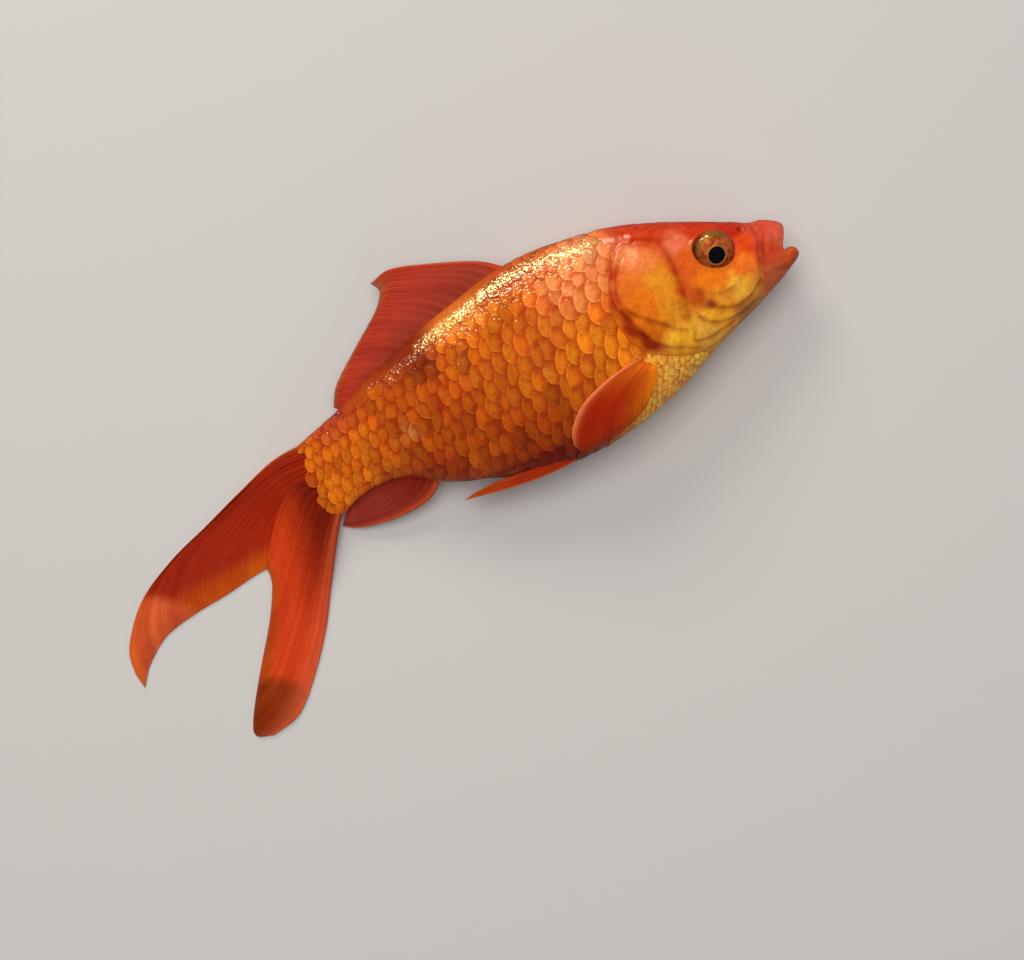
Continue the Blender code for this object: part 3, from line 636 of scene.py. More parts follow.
def new_material(name):
    """A material with only a Principled shader, its tree, and a function that links or sets the inputs."""
    made = bpy.data.materials.new(name)
    made.use_nodes = True
    shader = made.node_tree.nodes["Principled BSDF"]
    return made, made.node_tree, lambda inputs: feed(made.node_tree, shader.inputs, inputs)


# %% [markdown]
# Mottling is colour cells under the skin. Two sizes of noise darken and warm the colour a little. The wet
# film isn't even either: where it is thin the skin dulls, so its roughness follows a slow noise, and the
# finest noise is its height.

# %% The groups: mottling and wet film
WHITE = (1.0, 1.0, 1.0, 1.0)
mottle, given, out = start_group("Mottled cells", {"Colour": WHITE, "Size": 1200.0, "Amount": 0.3},
                                 {"Colour": WHITE})
patch = ramp(mottle, noise(mottle, given["Size"], 3.0), 0.36, 0.66)
grain = ramp(mottle, noise(mottle, times(mottle, given["Size"], 3.7), 2.0), 0.38, 0.64)
deep = tinted(mottle, given["Colour"], (0.74, 0.52, 0.40))
light = tinted(mottle, given["Colour"], (1.12, 1.22, 1.2))
mixed = blend(mottle, times(mottle, patch, given["Amount"]), given["Colour"], deep)
feed(mottle, out, {"Colour": blend(mottle, times(mottle, grain, given["Amount"]), mixed, light)})

film, given, out = start_group("Wet film", {"Size": 1500.0, "Low": 0.2, "High": 0.4},
                               {"Roughness": 0.0, "Height": 0.0, "Swell": 0.0})
slow = noise(film, times(film, given["Size"], 0.3), 2.0)
feed(film, out, {"Roughness": ramp(film, slow, 0.3, 0.7, given["Low"], given["High"]),
                 "Height": noise(film, given["Size"], 4.0),
                 "Swell": noise(film, times(film, given["Size"], 1.3), 0.0)})

# %% [markdown]
# The skin's own finish takes the blended markings, mottles them, and darkens the creases: partly painted
# shade, where wet folds hold shadow, and partly more pigment.

# %% The skin's material
skin_material, tree, finish = new_material("wet_skin")
mottling = {"Colour": stored(tree, "tint", "Color"), "Size": 620.0, "Amount": 0.52}
mottled = place_group(tree, mottle, mottling)["Colour"]
# Painted shade in the creases, from the crease attribute.
crease_shaded = blend(tree, stored(tree, "crease", "Fac"), mottled, tinted(tree, mottled, (0.48, 0.15, 0.05)))
wet = place_group(tree, film, {"Size": 1900.0, "Low": 0.24, "High": 0.46})
pores = bumped(tree, 0.5, 0.00012, wet["Height"])
finish({"Base Color": crease_shaded, "Roughness": wet["Roughness"], "Normal": pores, "Specular IOR Level": 0.1,
        "Coat Weight": 0.5, "Coat Roughness": 0.06, "Coat IOR": 1.38, "Coat Normal": pores,
        "Subsurface Weight": 0.06, "Subsurface Radius": (1.0, 0.3, 0.1), "Subsurface Scale": 0.002})

# %% [markdown]
# A scale is a clear plate with gold crystals on its underside. Its free edge gets a painted highlight, the
# part that dives under the scale in front gets painted shade, and very fine rings and ribs run over it. Its
# place attribute holds how far across and along the scale a point is, so the same nodes draw every scale.

# %% The group: relief of a scale
NEXT_ROW, HALF_ROW, BESIDE = 0.87, 0.435, 1.235  # where the covering scales are, in halves of a scale
relief, given, out = start_group("Scale relief", {"Place": None},
                                 {"Height": 0.0, "Rim": 0.0, "Shade": 0.0, "Middle": 0.0})
across, forward, _ = node(relief, "ShaderNodeSeparateXYZ", {0: given["Place"]}).outputs


def reach_of(across, forward):
    """How far out a point is in a scale's outline, which is at 1: sqrt(a^2 + b^2.3) behind the middle."""
    behind = number(relief, "POWER", number(relief, "MAXIMUM", forward, 0.0), 2.3)
    return number(relief, "SQRT", plus(relief, number(relief, "POWER", across, 2.0), behind))


own = reach_of(across, forward)
in_front = reach_of(across, plus(relief, forward, NEXT_ROW))
beside = reach_of(less(relief, number(relief, "ABSOLUTE", across), BESIDE), plus(relief, forward, HALF_ROW))
bearing = number(relief, "ARCTAN2", across, plus(relief, forward, 1.2))
ribs = number(relief, "SINE", times(relief, bearing, 46.0))
rings = number(relief, "SINE", times(relief, own, 60.0))
feed(relief, out, {"Height": plus(relief, times(relief, ribs, 0.12), times(relief, rings, 0.10)),
                   "Rim": ramp(relief, own, 0.80, 0.96),
                   "Shade": ramp(relief, number(relief, "MINIMUM", in_front, beside), 0.92, 1.50),
                   "Middle": ramp(relief, own, 0.85, 0.45)})

# %% [markdown]
# Along the upper flank the gold crystals lie close under the surface and flash like foil. That could be a
# lamp's reflection alone, but a wet film only gives white light. So the third value of the place attribute
# says how far a point is in that band, and there the peaks of a fine noise become small flecks that are
# half metal.

# %% The scales' material
scale_material, tree, finish = new_material("wet_scales")
place_in = stored(tree, "place", "Vector")
drawn = place_group(tree, relief, {"Place": place_in})
wet = place_group(tree, film, {"Size": 1250.0, "Low": 0.20, "High": 0.40})
mottling = {"Colour": stored(tree, "tint", "Color"), "Size": 800.0, "Amount": 0.55}
mottled = place_group(tree, mottle, mottling)["Colour"]
faced = blend(tree, drawn["Middle"], mottled, tinted(tree, mottled, (1.02, 1.14, 1.05)))
# Painted shade darkens each scale where it dives under its neighbours, and a painted highlight lightens its
# free edge.
shaded = blend(tree, drawn["Shade"], tinted(tree, mottled, (0.70, 0.44, 0.22)), faced)
rim_share = times(tree, drawn["Rim"], ramp(tree, wet["Height"], 0.35, 0.65, 0.25, 0.9))
rim_highlighted = blend(tree, rim_share, shaded, tinted(tree, mottled, (1.16, 1.50, 1.5)))
pored = blend(tree, stored(tree, "pore", "Fac"), rim_highlighted, (0.10, 0.02, 0.005))
gleam = node(tree, "ShaderNodeSeparateXYZ", {0: place_in}).outputs[2]
fleck = ramp(tree, plus(tree, noise(tree, 2300.0, 2.0), times(tree, gleam, 0.30)), 0.78, 0.84)
polish = times(tree, wet["Roughness"], less(tree, 1.0, times(tree, fleck, 0.55)))
total = plus(tree, times(tree, drawn["Height"], 0.35), wet["Height"])
total = plus(tree, total, times(tree, wet["Swell"], 1.2))
finish({"Base Color": blend(tree, fleck, pored, (1.0, 0.58, 0.20)), "Metallic": times(tree, fleck, 0.5),
        "Roughness": polish, "Normal": bumped(tree, 0.6, 0.00012, total), "Specular IOR Level": 0.1,
        "Coat Weight": 0.8, "Coat Roughness": 0.03, "Coat IOR": 1.45,
        "Coat Normal": bumped(tree, 1.0, 0.00024, wet["Swell"])})

# %% [markdown]
# A fin is a thin web on stiff rays. Rays are paler than the web and crossed by fine joints, and the margin
# is so thin that the light comes through it, which an Alpha a little under one imitates.

# %% The fins' material
fin_material, tree, finish = new_material("wet_fin")
along_ray, crest, thinness = node(tree, "ShaderNodeSeparateXYZ", {0: stored(tree, "place", "Vector")}).outputs
mottling = {"Colour": stored(tree, "tint", "Color"), "Size": 500.0, "Amount": 0.25}
mottled = place_group(tree, mottle, mottling)["Colour"]
web, ray = tinted(tree, mottled, (0.96, 0.88, 0.85)), tinted(tree, mottled, (1.05, 1.12, 1.1))
joints = number(tree, "SINE", times(tree, along_ray, 420.0))
wet = place_group(tree, film, {"Size": 1300.0, "Low": 0.30, "High": 0.50})
total = plus(tree, times(tree, times(tree, joints, crest), 0.3), wet["Height"])
finish({"Base Color": blend(tree, crest, web, ray), "Roughness": wet["Roughness"],
        "Normal": bumped(tree, 0.35, 0.00010, total), "Specular IOR Level": 0.2,
        "Alpha": less(tree, 1.0, times(tree, thinness, 0.35))})


# %% [markdown]
# ## Put the skin together
# The grid becomes one closed mesh: a face closes the ring inside the tail, and another the end of the
# mouth.

# %% The skin piece
def grid_uv(rows, columns):
    """Places for the corners of a grid that closes on itself: ring along one axis, angle along the other."""
    u = np.linspace(0.01, 0.99, rows)
    v = np.linspace(0.01, 0.99, columns + 1)
    at = np.stack(np.meshgrid(u, v, indexing="ij"), -1)
    return np.stack([at[:-1, :-1], at[1:, :-1], at[1:, 1:], at[:-1, 1:]], 2).reshape(-1, 4, 2)


FLESH = ("head", "upper_jaw", "lower_jaw", "trunk", "tail_stalk", "gill_cover_right", "gill_cover_left")
rows, columns = points.shape[:2]
ends = [np.arange(columns)[None, :], np.arange((rows - 1) * columns, rows * columns)[None, ::-1]]
circle = np.linspace(0, 2 * np.pi, columns, endpoint=False)
end_uv = 0.004 * np.stack([np.cos(circle), np.sin(circle)], 1)[None] + 0.005
make_piece("skin", points, [grid_faces(rows, columns, closed=True), *ends], skin_material, "skin", FLESH,
           uv=[grid_uv(rows, columns), end_uv, end_uv], tint=opaque(tint), crease=crease.ravel())

# %% [markdown]
# ## Scales
# Scales sit in rows that run from gill to tail, and each row is shifted half a scale against its
# neighbours. To lay them on a curved body, a place on the flank is given as a distance along the fish and
# an arc over its girth, measured from the lateral line. A table turns that arc into the angle that the
# body's formula needs.

# %% Measure the girth
LATERAL_LINE = np.array([(-7, 1.4), (0, 2.2), (10, 3.6), (19.7, 4.2), (28.4, 5.0), (41.7, 6.4), (54.9, 8.8),
                         (68, 11.2), (88, 13.0)])
ROW_ABOVE = np.array([(-4, 2.3), (10, 2.7), (26, 3.0), (52, 3.4), (80, 3.3)])  # height of a row, by place
ROW_BELOW = np.array([(-4, 2.4), (10, 2.8), (26, 3.3), (52, 3.9), (80, 3.4)])
SPACING = np.array([(-4, 2.1), (26, 2.35), (54, 2.8), (80, 3.1)])  # from scale to scale along a row
TABLE_X = np.linspace(-6, 86, 185)
TABLE_ARC = np.linspace(-48, 40, 353)


def girth_table():
    """For each place along the fish: the angle at each arc, and the arcs of the ridges of back and belly."""
    angle = np.radians(np.linspace(-70, 250, 641))
    ring = body(TABLE_X[:, None], angle[None])
    steps = np.linalg.norm(np.diff(ring, axis=1), axis=2)
    length = np.concatenate([np.zeros((len(TABLE_X), 1)), steps.cumsum(1)], 1)
    top, bottom = smooth(TABLE_X, BACK), smooth(TABLE_X, BELLY)
    start = np.arccos((2 * smooth(TABLE_X, LATERAL_LINE) - top - bottom) / (top - bottom))
    table, ridges = [], []
    for k in range(len(TABLE_X)):
        arc = np.interp(start[k], angle, length[k]) - length[k]
        table.append(np.interp(TABLE_ARC, arc[::-1], angle[::-1]))
        ridges.append(np.interp((0.0, np.pi), angle, arc))
    return np.array(table), np.array(ridges)


ANGLE_TABLE, RIDGES = girth_table()


def on_flank(x, arc, height):
    """The point at a place along the fish and an arc over its girth, raised along the body's normal."""
    u = np.clip((x - TABLE_X[0]) / (TABLE_X[1] - TABLE_X[0]), 0, len(TABLE_X) - 1.001)
    v = np.clip((arc - TABLE_ARC[0]) / (TABLE_ARC[1] - TABLE_ARC[0]), 0, len(TABLE_ARC) - 1.001)
    i, j = u.astype(int), v.astype(int)
    s, t = u - i, v - j
    angle = ((1 - s) * (1 - t) * ANGLE_TABLE[i, j] + s * (1 - t) * ANGLE_TABLE[i + 1, j]
             + (1 - s) * t * ANGLE_TABLE[i, j + 1] + s * t * ANGLE_TABLE[i + 1, j + 1])
    step = 0.02
    round_it = body(x, angle + step) - body(x, angle - step)
    along_it = body(x + step, angle) - body(x - step, angle)
    normal = np.cross(round_it, along_it)
    normal /= np.linalg.norm(normal, axis=-1, keepdims=True)
    return body(x, angle) + normal * height[..., None]


# %% [markdown]
# Each scale is the same small plate: eight rows of seven points on top, a flat underside and a thin wall
# between them. Its root dives under the scale in front and its rounded free edge stands a little proud,
# which is what makes the shadow line between scales. A seeded generator varies size, turn and tint, because
# no two are alike.

# %% The outline of a scale
SCALE_LONG = 2.3  # length of a scale, in spacings
SCALE_WIDE = 1.62  # width of a scale, in row heights
ROOT_SINK, EDGE_LIFT, SCALE_CROWN, SCALE_THICK = 0.38, 0.09, 0.06, 0.12
ACROSS, ALONG = 7, 8


def scale_shape():
    """Across, along, and height over the body of a scale's points: root, rounded free edge and crown."""
    b = -np.cos(np.linspace(0.12, 0.97, ALONG) * np.pi)
    b = (b - b[0]) / (b[-1] - b[0]) * 2 - 1
    p = np.sin(np.linspace(-1, 1, ACROSS) * np.pi / 2)
    wide = np.where(b < 0, 1 - 0.25 * b**2, np.sqrt(np.maximum(1 - 0.985 * np.maximum(b, 0) ** 2.3, 0)))
    a = p[None] * wide[:, None]
    b = np.broadcast_to(b[:, None], a.shape)
    share = (b + 1) / 2
    height = -ROOT_SINK + (ROOT_SINK + EDGE_LIFT) * share ** 0.9
    height += SCALE_CROWN * (1 - (a / 1.05) ** 2) * np.sin(np.pi * np.clip(share * 1.05 - 0.1, 0, 1))
    height -= 0.10 * a**4
    return a, b, height


def scale_border():
    """The top's points round its edge: along the root, up one side, along the free edge, down the other."""
    last = (ALONG - 1) * ACROSS
    return np.concatenate([np.arange(ACROSS - 1), np.arange(0, last, ACROSS) + ACROSS - 1,
                           last + np.arange(ACROSS - 1, 0, -1), np.arange(last, 0, -ACROSS)])


print("points of a scale:", ALONG * ACROSS + len(scale_border()))

# %% [markdown]
# Which places get a scale is a question of edges: none on the head, none past the tail's root, none on the
# smooth band by the dorsal fin, and small ones on the breast. Each edge is a curve in the plan.

# %% Choose the places
BREAST_LINE = np.array([(-5, -60), (60, -60), (63, -17.5), (68, -12.5), (72.5, -8.6), (78, -6.0), (90, -6.0)])
# Where the scales end at the tail: the height in the plan, then how far along.
TAIL_EDGE = np.array([(-9, 1.6), (-6.6, 0.4), (-3.8, -0.7), (1.3, -1.2), (5.0, -0.9), (8.2, -0.2), (11, 1.0)])
ROWS = 12  # at most this many rows above and below the lateral line
BREAST_GRAIN = 0.46  # size of the breast's scales against those of the flank


def row_height(row, x, grain):
    """Height of a row at a place, which differs above and below the lateral line."""
    return grain * np.where(row > 0, smooth(x, ROW_ABOVE), smooth(x, ROW_BELOW))


def scale_places(grain, patch):
    """Row of each scale and its free edge's place along the fish, for the places that patch accepts.

    grain is the size of the scales against those of the flank.
    """
    x_line = np.linspace(-5, 88, 800)
    count = np.concatenate([[0], np.cumsum(np.diff(x_line) / (grain * smooth(x_line[:-1], SPACING)))])
    rows, tips = [], []
    for row in range(int(-ROWS / grain), int(ROWS / grain)):
        steps = np.arange(int(count[-1]) + 1) + 0.5 * (row % 2)
        place = np.interp(steps, count, x_line)
        rows.append(np.full(len(place), row))
        tips.append(place)
    row, tip = np.concatenate(rows), np.concatenate(tips)
    middle = tip + 0.5 * grain * smooth(tip, SPACING)
    high = row_height(row, middle, grain)
    arc = row * high
    top = np.interp(middle, TABLE_X, RIDGES[:, 0])
    bottom = np.interp(middle, TABLE_X, RIDGES[:, 1])
    at = on_flank(middle, np.clip(arc, bottom, top), np.zeros(len(arc)))
    edge = on_flank(tip, np.clip(arc, bottom, top), np.zeros(len(arc)))
    behind, _ = side_of(GILL_LINE, edge[:, 0], edge[:, 1])
    keep = (arc < top - 0.1 * high) & (arc > bottom - 0.35 * high) & (behind < 0.8)
    band = dorsal_band(middle)
    keep &= at[:, 1] < smooth(middle, BACK) - band - 0.4 * (band > BAND_SHOWS)
    keep &= tip > smooth(np.clip(at[:, 1], -9, 11), TAIL_EDGE) - 0.2
    keep &= patch(at[:, 0], at[:, 1])
    return row[keep], tip[keep]


def on_breast(x, y):
    """Whether a place is on the breast, below and in front of the pectoral fin, where scales are small."""
    return y < smooth(x, BREAST_LINE)


def on_side(x, y):
    """Whether a place is anywhere else."""
    return ~on_breast(x, y)


for grain, patch in ((1.0, on_side), (BREAST_GRAIN, on_breast)):
    print("scales on a side:", len(scale_places(grain, patch)[0]))


# %% [markdown]
# Laying them is one sum for all scales at once: the flat outline is stretched to each scale's length and
# width, mapped to the flank, and raised by its height. The arrays are indexed by scale, then by point of
# the scale.

# %% Map the outline to the flank
# How much scales differ from each other: in size, turn, lift of the free edge, and place along and round.
SIZE_VARIES, TURN_VARIES, LIFT_VARIES, PLACE_VARIES, ARC_VARIES = 0.06, 0.11, 0.08, 0.22, 0.18
LEAN = 0.10  # the free edge leans this far towards the belly, in row heights
FULL_SPACING, LEAST_RELIEF = 2.8, 0.3  # scales that are closer together than this are flatter, down to this
TUCK, TUCK_ENDS = 0.7, (-0.5, 0.4)  # how deep scales dive at the gill line, and over which way


def scale_points(dice, row, tip, side, grain):
    """The points of all scales, with the length and row height of each.

    A point's place is tip + (1 - b) / 2 * length and its arc is row * height + a * width, each with its own
    turn and shift, and its height over the body is the shape's, plus a lift that grows towards the free edge.
    """
    a, b, height = scale_shape()
    n = len(tip)
    each = np.s_[:, None, None]  # one value per scale, against the rows and columns of its points
    size = 1 + SIZE_VARIES * dice.standard_normal(n)
    turn = TURN_VARIES * dice.standard_normal(n)
    lift = LIFT_VARIES * dice.standard_normal(n)
    spacing = grain * smooth(tip, SPACING)
    long = SCALE_LONG * spacing * size
    high = row_height(row, tip, grain)
    wide = SCALE_WIDE * high / 2 * size
    x = tip[each] + (1 - b) / 2 * long[each] + turn[each] * a * wide[each]
    x = x + PLACE_VARIES * grain * dice.standard_normal(n)[each]
    arc = row[each] * row_height(row[each], x, grain) + a * wide[each]
    arc = arc - LEAN * (b + 1) * high[each] + (ARC_VARIES * grain * dice.standard_normal(n))[each]
    small = np.clip(spacing / FULL_SPACING, LEAST_RELIEF, 1)[each] ** 2
    raise_by = (height + lift[each] * (b + 1) / 2) * small
    flat = on_flank(x, arc, np.zeros(x.shape))
    behind, _ = side_of(GILL_LINE, flat[..., 0], flat[..., 1])
    tuck_start = TUCK_ENDS[0] - NAPE_SLOPE * ease(flat[..., 1], *NAPE)
    raise_by = raise_by - TUCK * ease(behind, tuck_start, TUCK_ENDS[1])
    top = on_flank(x, arc, raise_by).reshape(n, -1, 3)
    under = on_flank(x, arc, raise_by - SCALE_THICK).reshape(n, -1, 3)[:, scale_border()]
    points = np.concatenate([top, under], 1)
    if side < 0:
        points[..., 2] = 2 * smooth(points[..., 0], MIDDLE) - points[..., 2]
    points[..., 2] = np.maximum(points[..., 2], 0.0)
    return points, long, high


EDGE_SHARE = 0.6  # how much of a scale's colour is the one at its free edge
BRIGHTNESS_VARIES, WARMTH_VARIES = 0.11, 0.13


def scale_tints(dice, points):
    """The colour of each point: a mean of its own marking and the free edge's, varied by scale."""
    seen = points[:, (ALONG - 2) * ACROSS + ACROSS // 2]
    local = markings(points[..., 0], points[..., 1])
    own = markings(seen[:, 0], seen[:, 1])[:, None]
    one_each = (len(points), 1, 1)
    bright = 1 + BRIGHTNESS_VARIES * dice.standard_normal(one_each)
    bright = bright + dice.uniform(-WARMTH_VARIES, WARMTH_VARIES, one_each) * np.array((0.1, 1, 1.2))
    patches = 1 + 0.14 * ripples(seen[:, 0], seen[:, 1], 9.0, 41)
    bright = bright * patches[:, None, None] ** np.array((0.8, 1.3, 1.4))
    return np.clip(((1 - EDGE_SHARE) * local + EDGE_SHARE * own) * bright, 0, 1)


# %% Lay the scales
GLEAM_DEPTH, GLEAM_REACH = 2.8, 2.3  # the flashing band is this far below the back, and this wide
UV_PATCH, UV_MARGIN = 0.003, 0.02  # width of a scale's patch on the map, and of the map's margin
MAP_START, MAP_SIZE = (-7, -44), (115, 84)  # the place and the arc at the map's corner, and how far it goes


def lay_scales(name, side, seed, grain, patch):
    """All scales of one size on one side, as one piece, with colours and a map for each."""
    dice = np.random.default_rng(seed)
    row, tip = scale_places(grain, patch)
    points, long, high = scale_points(dice, row, tip, side, grain)
    n, each = points.shape[:2]
    border = scale_border()
    quads = grid_faces(ALONG, ACROSS)
    ring = ALONG * ACROSS + np.arange(len(border))
    wall = np.stack([border, np.roll(border, -1), np.roll(ring, -1), ring], 1)
    start = (np.arange(n) * each)[:, None, None]
    shell = (np.concatenate([quads, wall])[None] + start).reshape(-1, 4)
    faces = [shell, (ring[None, None] + start).reshape(n, -1)]
    a, b, _ = scale_shape()
    a, b = (np.concatenate([way.ravel(), way.ravel()[border]]) for way in (a, b))
    tint = opaque(scale_tints(dice, points))
    deep = smooth(points[..., 0], BACK) - points[..., 1]
    gleam = np.exp(-(((deep - GLEAM_DEPTH) / GLEAM_REACH) ** 2)) * ease(points[..., 0], 14.0, 34.0)
    place = np.stack([np.tile(a, n), np.tile(b, n), gleam.ravel()], -1)
    pore = (row == 0)[:, None] * np.exp(-((a / 0.11) ** 2 + ((b - 0.5) / 0.12) ** 2))[None]
    u = UV_MARGIN + (1 - 2 * UV_MARGIN) * (tip + long - MAP_START[0]) / MAP_SIZE[0]
    v = UV_MARGIN + (1 - 2 * UV_MARGIN) * (row * high - MAP_START[1]) / MAP_SIZE[1]
    patch_uv = np.stack([u[:, None] + UV_PATCH / 2 * b, v[:, None] + UV_PATCH / 2 * a], -1).reshape(-1, 2)
    uv = [patch_uv[group] for group in faces]
    sharp = np.concatenate([np.tile(np.arange(len(quads) + len(wall)) >= len(quads), n), np.ones(n, bool)])
    print(f"{name}: {n} scales of {len(quads) + len(wall) + 1} faces")
    make_piece(name, points, faces, scale_material, "skin", uv=uv, sharp=sharp, tint=tint, place=place,
               pore=pore.ravel())


for side, word in ((1, "right"), (-1, "left")):
    lay_scales(f"scales_{word}", side, 12 - side, 1.0, on_side)
    lay_scales(f"breast_scales_{word}", side, 22 - side, BREAST_GRAIN, on_breast)

# %% [markdown]
# ## Fins
# Every fin is a sheet stretched between four edges: root, leading ray, margin and last ray. A point of the
# sheet is the mean of the edges on either side of it, in both directions, less the mean of the corners,
# which is called a Coons patch. Rays are ridges on both faces. Past each split a ray becomes two: folding
# its distance to the centre line round the split gives all branches in one formula.

# %% The edges and colours of the fins
# Each fin: its edges in the plan, its number of rays and where they split, its half thickness at root and
# margin, and the colours of its parts. The tip is what lies within tip_reach of the leading ray's end.
ONCE, TWICE = (0.3, 0.7), (0.6, 1.0)
DORSAL = {"leading": [(55.0, 22.4), (50.0, 26.5), (41.8, 30.2), (33.4, 33.1), (28.4, 32.4)],
          "margin": [(28.4, 32.2), (29.3, 29.9), (26.6, 26.6), (20.0, 22.0), (13.4, 17.1), (10.7, 13.3)],
          "last": [(12.6, 10.8), (10.7, 13.3)],
          "rays": 19, "splits": ((0.35, 0.75), TWICE), "half": (0.5, 0.16),
          "tints": {"root": (144, 46, 28), "middle": (172, 50, 30), "margin": (172, 84, 34),
                    "lead": (200, 66, 30)}}
ANAL = {"leading": [(24.6, -8.8), (20.4, -11.9), (13.0, -12.6), (5.4, -11.2), (1.6, -9.2)],
        "margin": [(1.6, -9.2), (2.6, -8.0), (4.4, -6.2)],
        "last": [(14.2, -3.4), (9.5, -4.4), (4.4, -6.2)],
        "rays": 8, "splits": (ONCE, TWICE), "half": (0.45, 0.15),
        "tints": {"root": (140, 36, 20), "middle": (150, 50, 38), "margin": (176, 70, 50),
                  "lead": (204, 84, 40)}}
# The upper lobe's pale pinkish tip colour is partly painted sheen of the wet fin.
TAIL_UPPER = {"root": [(5.6, 9.2), (1.8, 5.6), (0.8, -0.4)],
              "leading": [(5.6, 9.2), (-4.4, 9.2), (-14.0, 6.4), (-23.6, 3.0), (-33.2, -0.3), (-42.0, -5.0),
                          (-48.2, -12.0), (-49.6, -17.0), (-49.2, -21.2)],
              "margin": [(-49.2, -21.2), (-46.0, -17.4), (-40.6, -13.8), (-33.6, -12.3), (-26.0, -11.6),
                         (-18.6, -10.6), (-13.6, -10.4)],
              "last": [(0.8, -0.4), (-4.6, -0.9), (-9.2, -4.6), (-13.6, -10.2)],
              "rays": 10, "splits": ((0.12, 0.35), (0.35, 0.7), (0.65, 1.0)), "half": (0.5, 0.14),
              "tip_reach": 20.0,
              "tints": {"root": (146, 32, 6), "middle": (154, 32, 2), "margin": (206, 84, 10),
                        "lead": (214, 96, 30), "tip": (210, 88, 44)}}
TAIL_LOWER = {"root": [(4.0, -5.4), (1.8, -2.6), (0.8, 3.4)],
              "leading": [(4.0, -5.4), (0.4, -10.0), (-5.2, -18.2), (-10.4, -26.2), (-16.4, -33.6),
                          (-23.0, -39.8), (-29.6, -41.5)],
              "margin": [(-29.6, -41.5), (-33.0, -39.9), (-31.8, -36.2), (-26.6, -28.6), (-20.4, -20.2),
                         (-16.6, -13.6), (-16.0, -9.6)],
              "last": [(0.8, 3.4), (-4.4, 2.6), (-9.8, -1.8), (-13.8, -6.6), (-16.0, -9.6)],
              "rays": 9, "splits": TAIL_UPPER["splits"], "half": TAIL_UPPER["half"], "tip_reach": 13.0,
              "tints": {"root": (118, 24, 4), "middle": (204, 60, 18), "margin": (196, 78, 12),
                        "lead": (214, 92, 54), "tip": (142, 48, 4)}}
# The pectoral fin's pale pink leading ray is partly painted highlight, the wet shine along its front edge.
PECTORAL = {"root": [(71.0, -5.7), (71.5, -6.4), (71.2, -7.2)],
            "leading": [(71.0, -5.7), (68.0, -5.4), (61.6, -6.4), (55.6, -8.6), (51.8, -12.0), (50.7, -15.0)],
            "margin": [(50.7, -15.0), (52.4, -17.2), (57.6, -17.0), (63.4, -16.0), (67.0, -14.3),
                       (69.6, -11.9)],
            "last": [(71.2, -7.2), (71.6, -9.4), (69.6, -11.9)],
            "rays": 14, "splits": (ONCE, TWICE), "half": (0.45, 0.14),
            "tints": {"root": (214, 96, 14), "middle": (176, 38, 0), "margin": (184, 50, 2),
                      "lead": (250, 138, 84), "last": (250, 134, 2)}}
# The pelvic fin's pinkish leading ray is partly painted highlight, the shine along its outer edge.
PELVIC = {"root": [(55.6, -16.4), (54.2, -15.4)],
          "leading": [(55.6, -16.4), (48.4, -17.8), (38.5, -17.4), (26.5, -15.3)],
          "margin": [(26.5, -15.3), (29.0, -14.9), (33.4, -14.7)],
          "last": [(54.2, -15.4), (46.0, -15.9), (33.4, -14.7)],
          "rays": 9, "splits": (ONCE, TWICE), "half": (0.45, 0.15),
          "tints": {"root": (170, 46, 6), "middle": (178, 50, 6), "margin": (200, 80, 20),
                    "lead": (224, 104, 60)}}
print("rays:", sum(fin["rays"] for fin in (DORSAL, ANAL, TAIL_UPPER, TAIL_LOWER, PECTORAL, PELVIC)))


# %% Stretch a sheet and raise its rays
def fan(edges, rays, steps, root=None):
    """The sheet between four edges, with each point's share of the way across the rays and along its ray."""
    root = edges["root"] if root is None else root
    root, margin = along(root, rays)[:, None], along(edges["margin"], rays)[:, None]
    leading, last = along(edges["leading"], steps)[None], along(edges["last"], steps)[None]
    a = np.linspace(0, 1, rays)[:, None, None]
    b = np.linspace(0, 1, steps)[None, :, None]
    corners = (1 - b) * ((1 - a) * root[:1] + a * root[-1:]) + b * ((1 - a) * margin[:1] + a * margin[-1:])
    plan = (1 - a) * leading + a * last + (1 - b) * root + b * margin - corners
    return plan, *np.broadcast_arrays(a[..., 0], b[..., 0])


def ray_crests(a, b, rays, splits):
    """1 on the crest of a ray and 0 between rays: exp(-(t / width)^2), with t folded round each split."""
    t = np.abs((a * rays) % 1 - 0.5)
    width = np.full(b.shape, 0.20)
    spread = 0.25
    for start, end in splits:
        grown = ease(b, start, end)
        t = np.abs(t - spread * grown)
        width = width * (1 - 0.5 * grown)
        spread /= 2
    return np.exp(-((t / width) ** 2))


FOLD = 0.03  # the sheet swings this far from ray to ray
RAY_RELIEF = 0.14  # the web is thinner than a ray by this share
EDGE_THICKNESS = 0.25  # the share of the thickness that is left at the edges
LEAD_EXTRA = 0.5  # the leading ray is stouter by this share


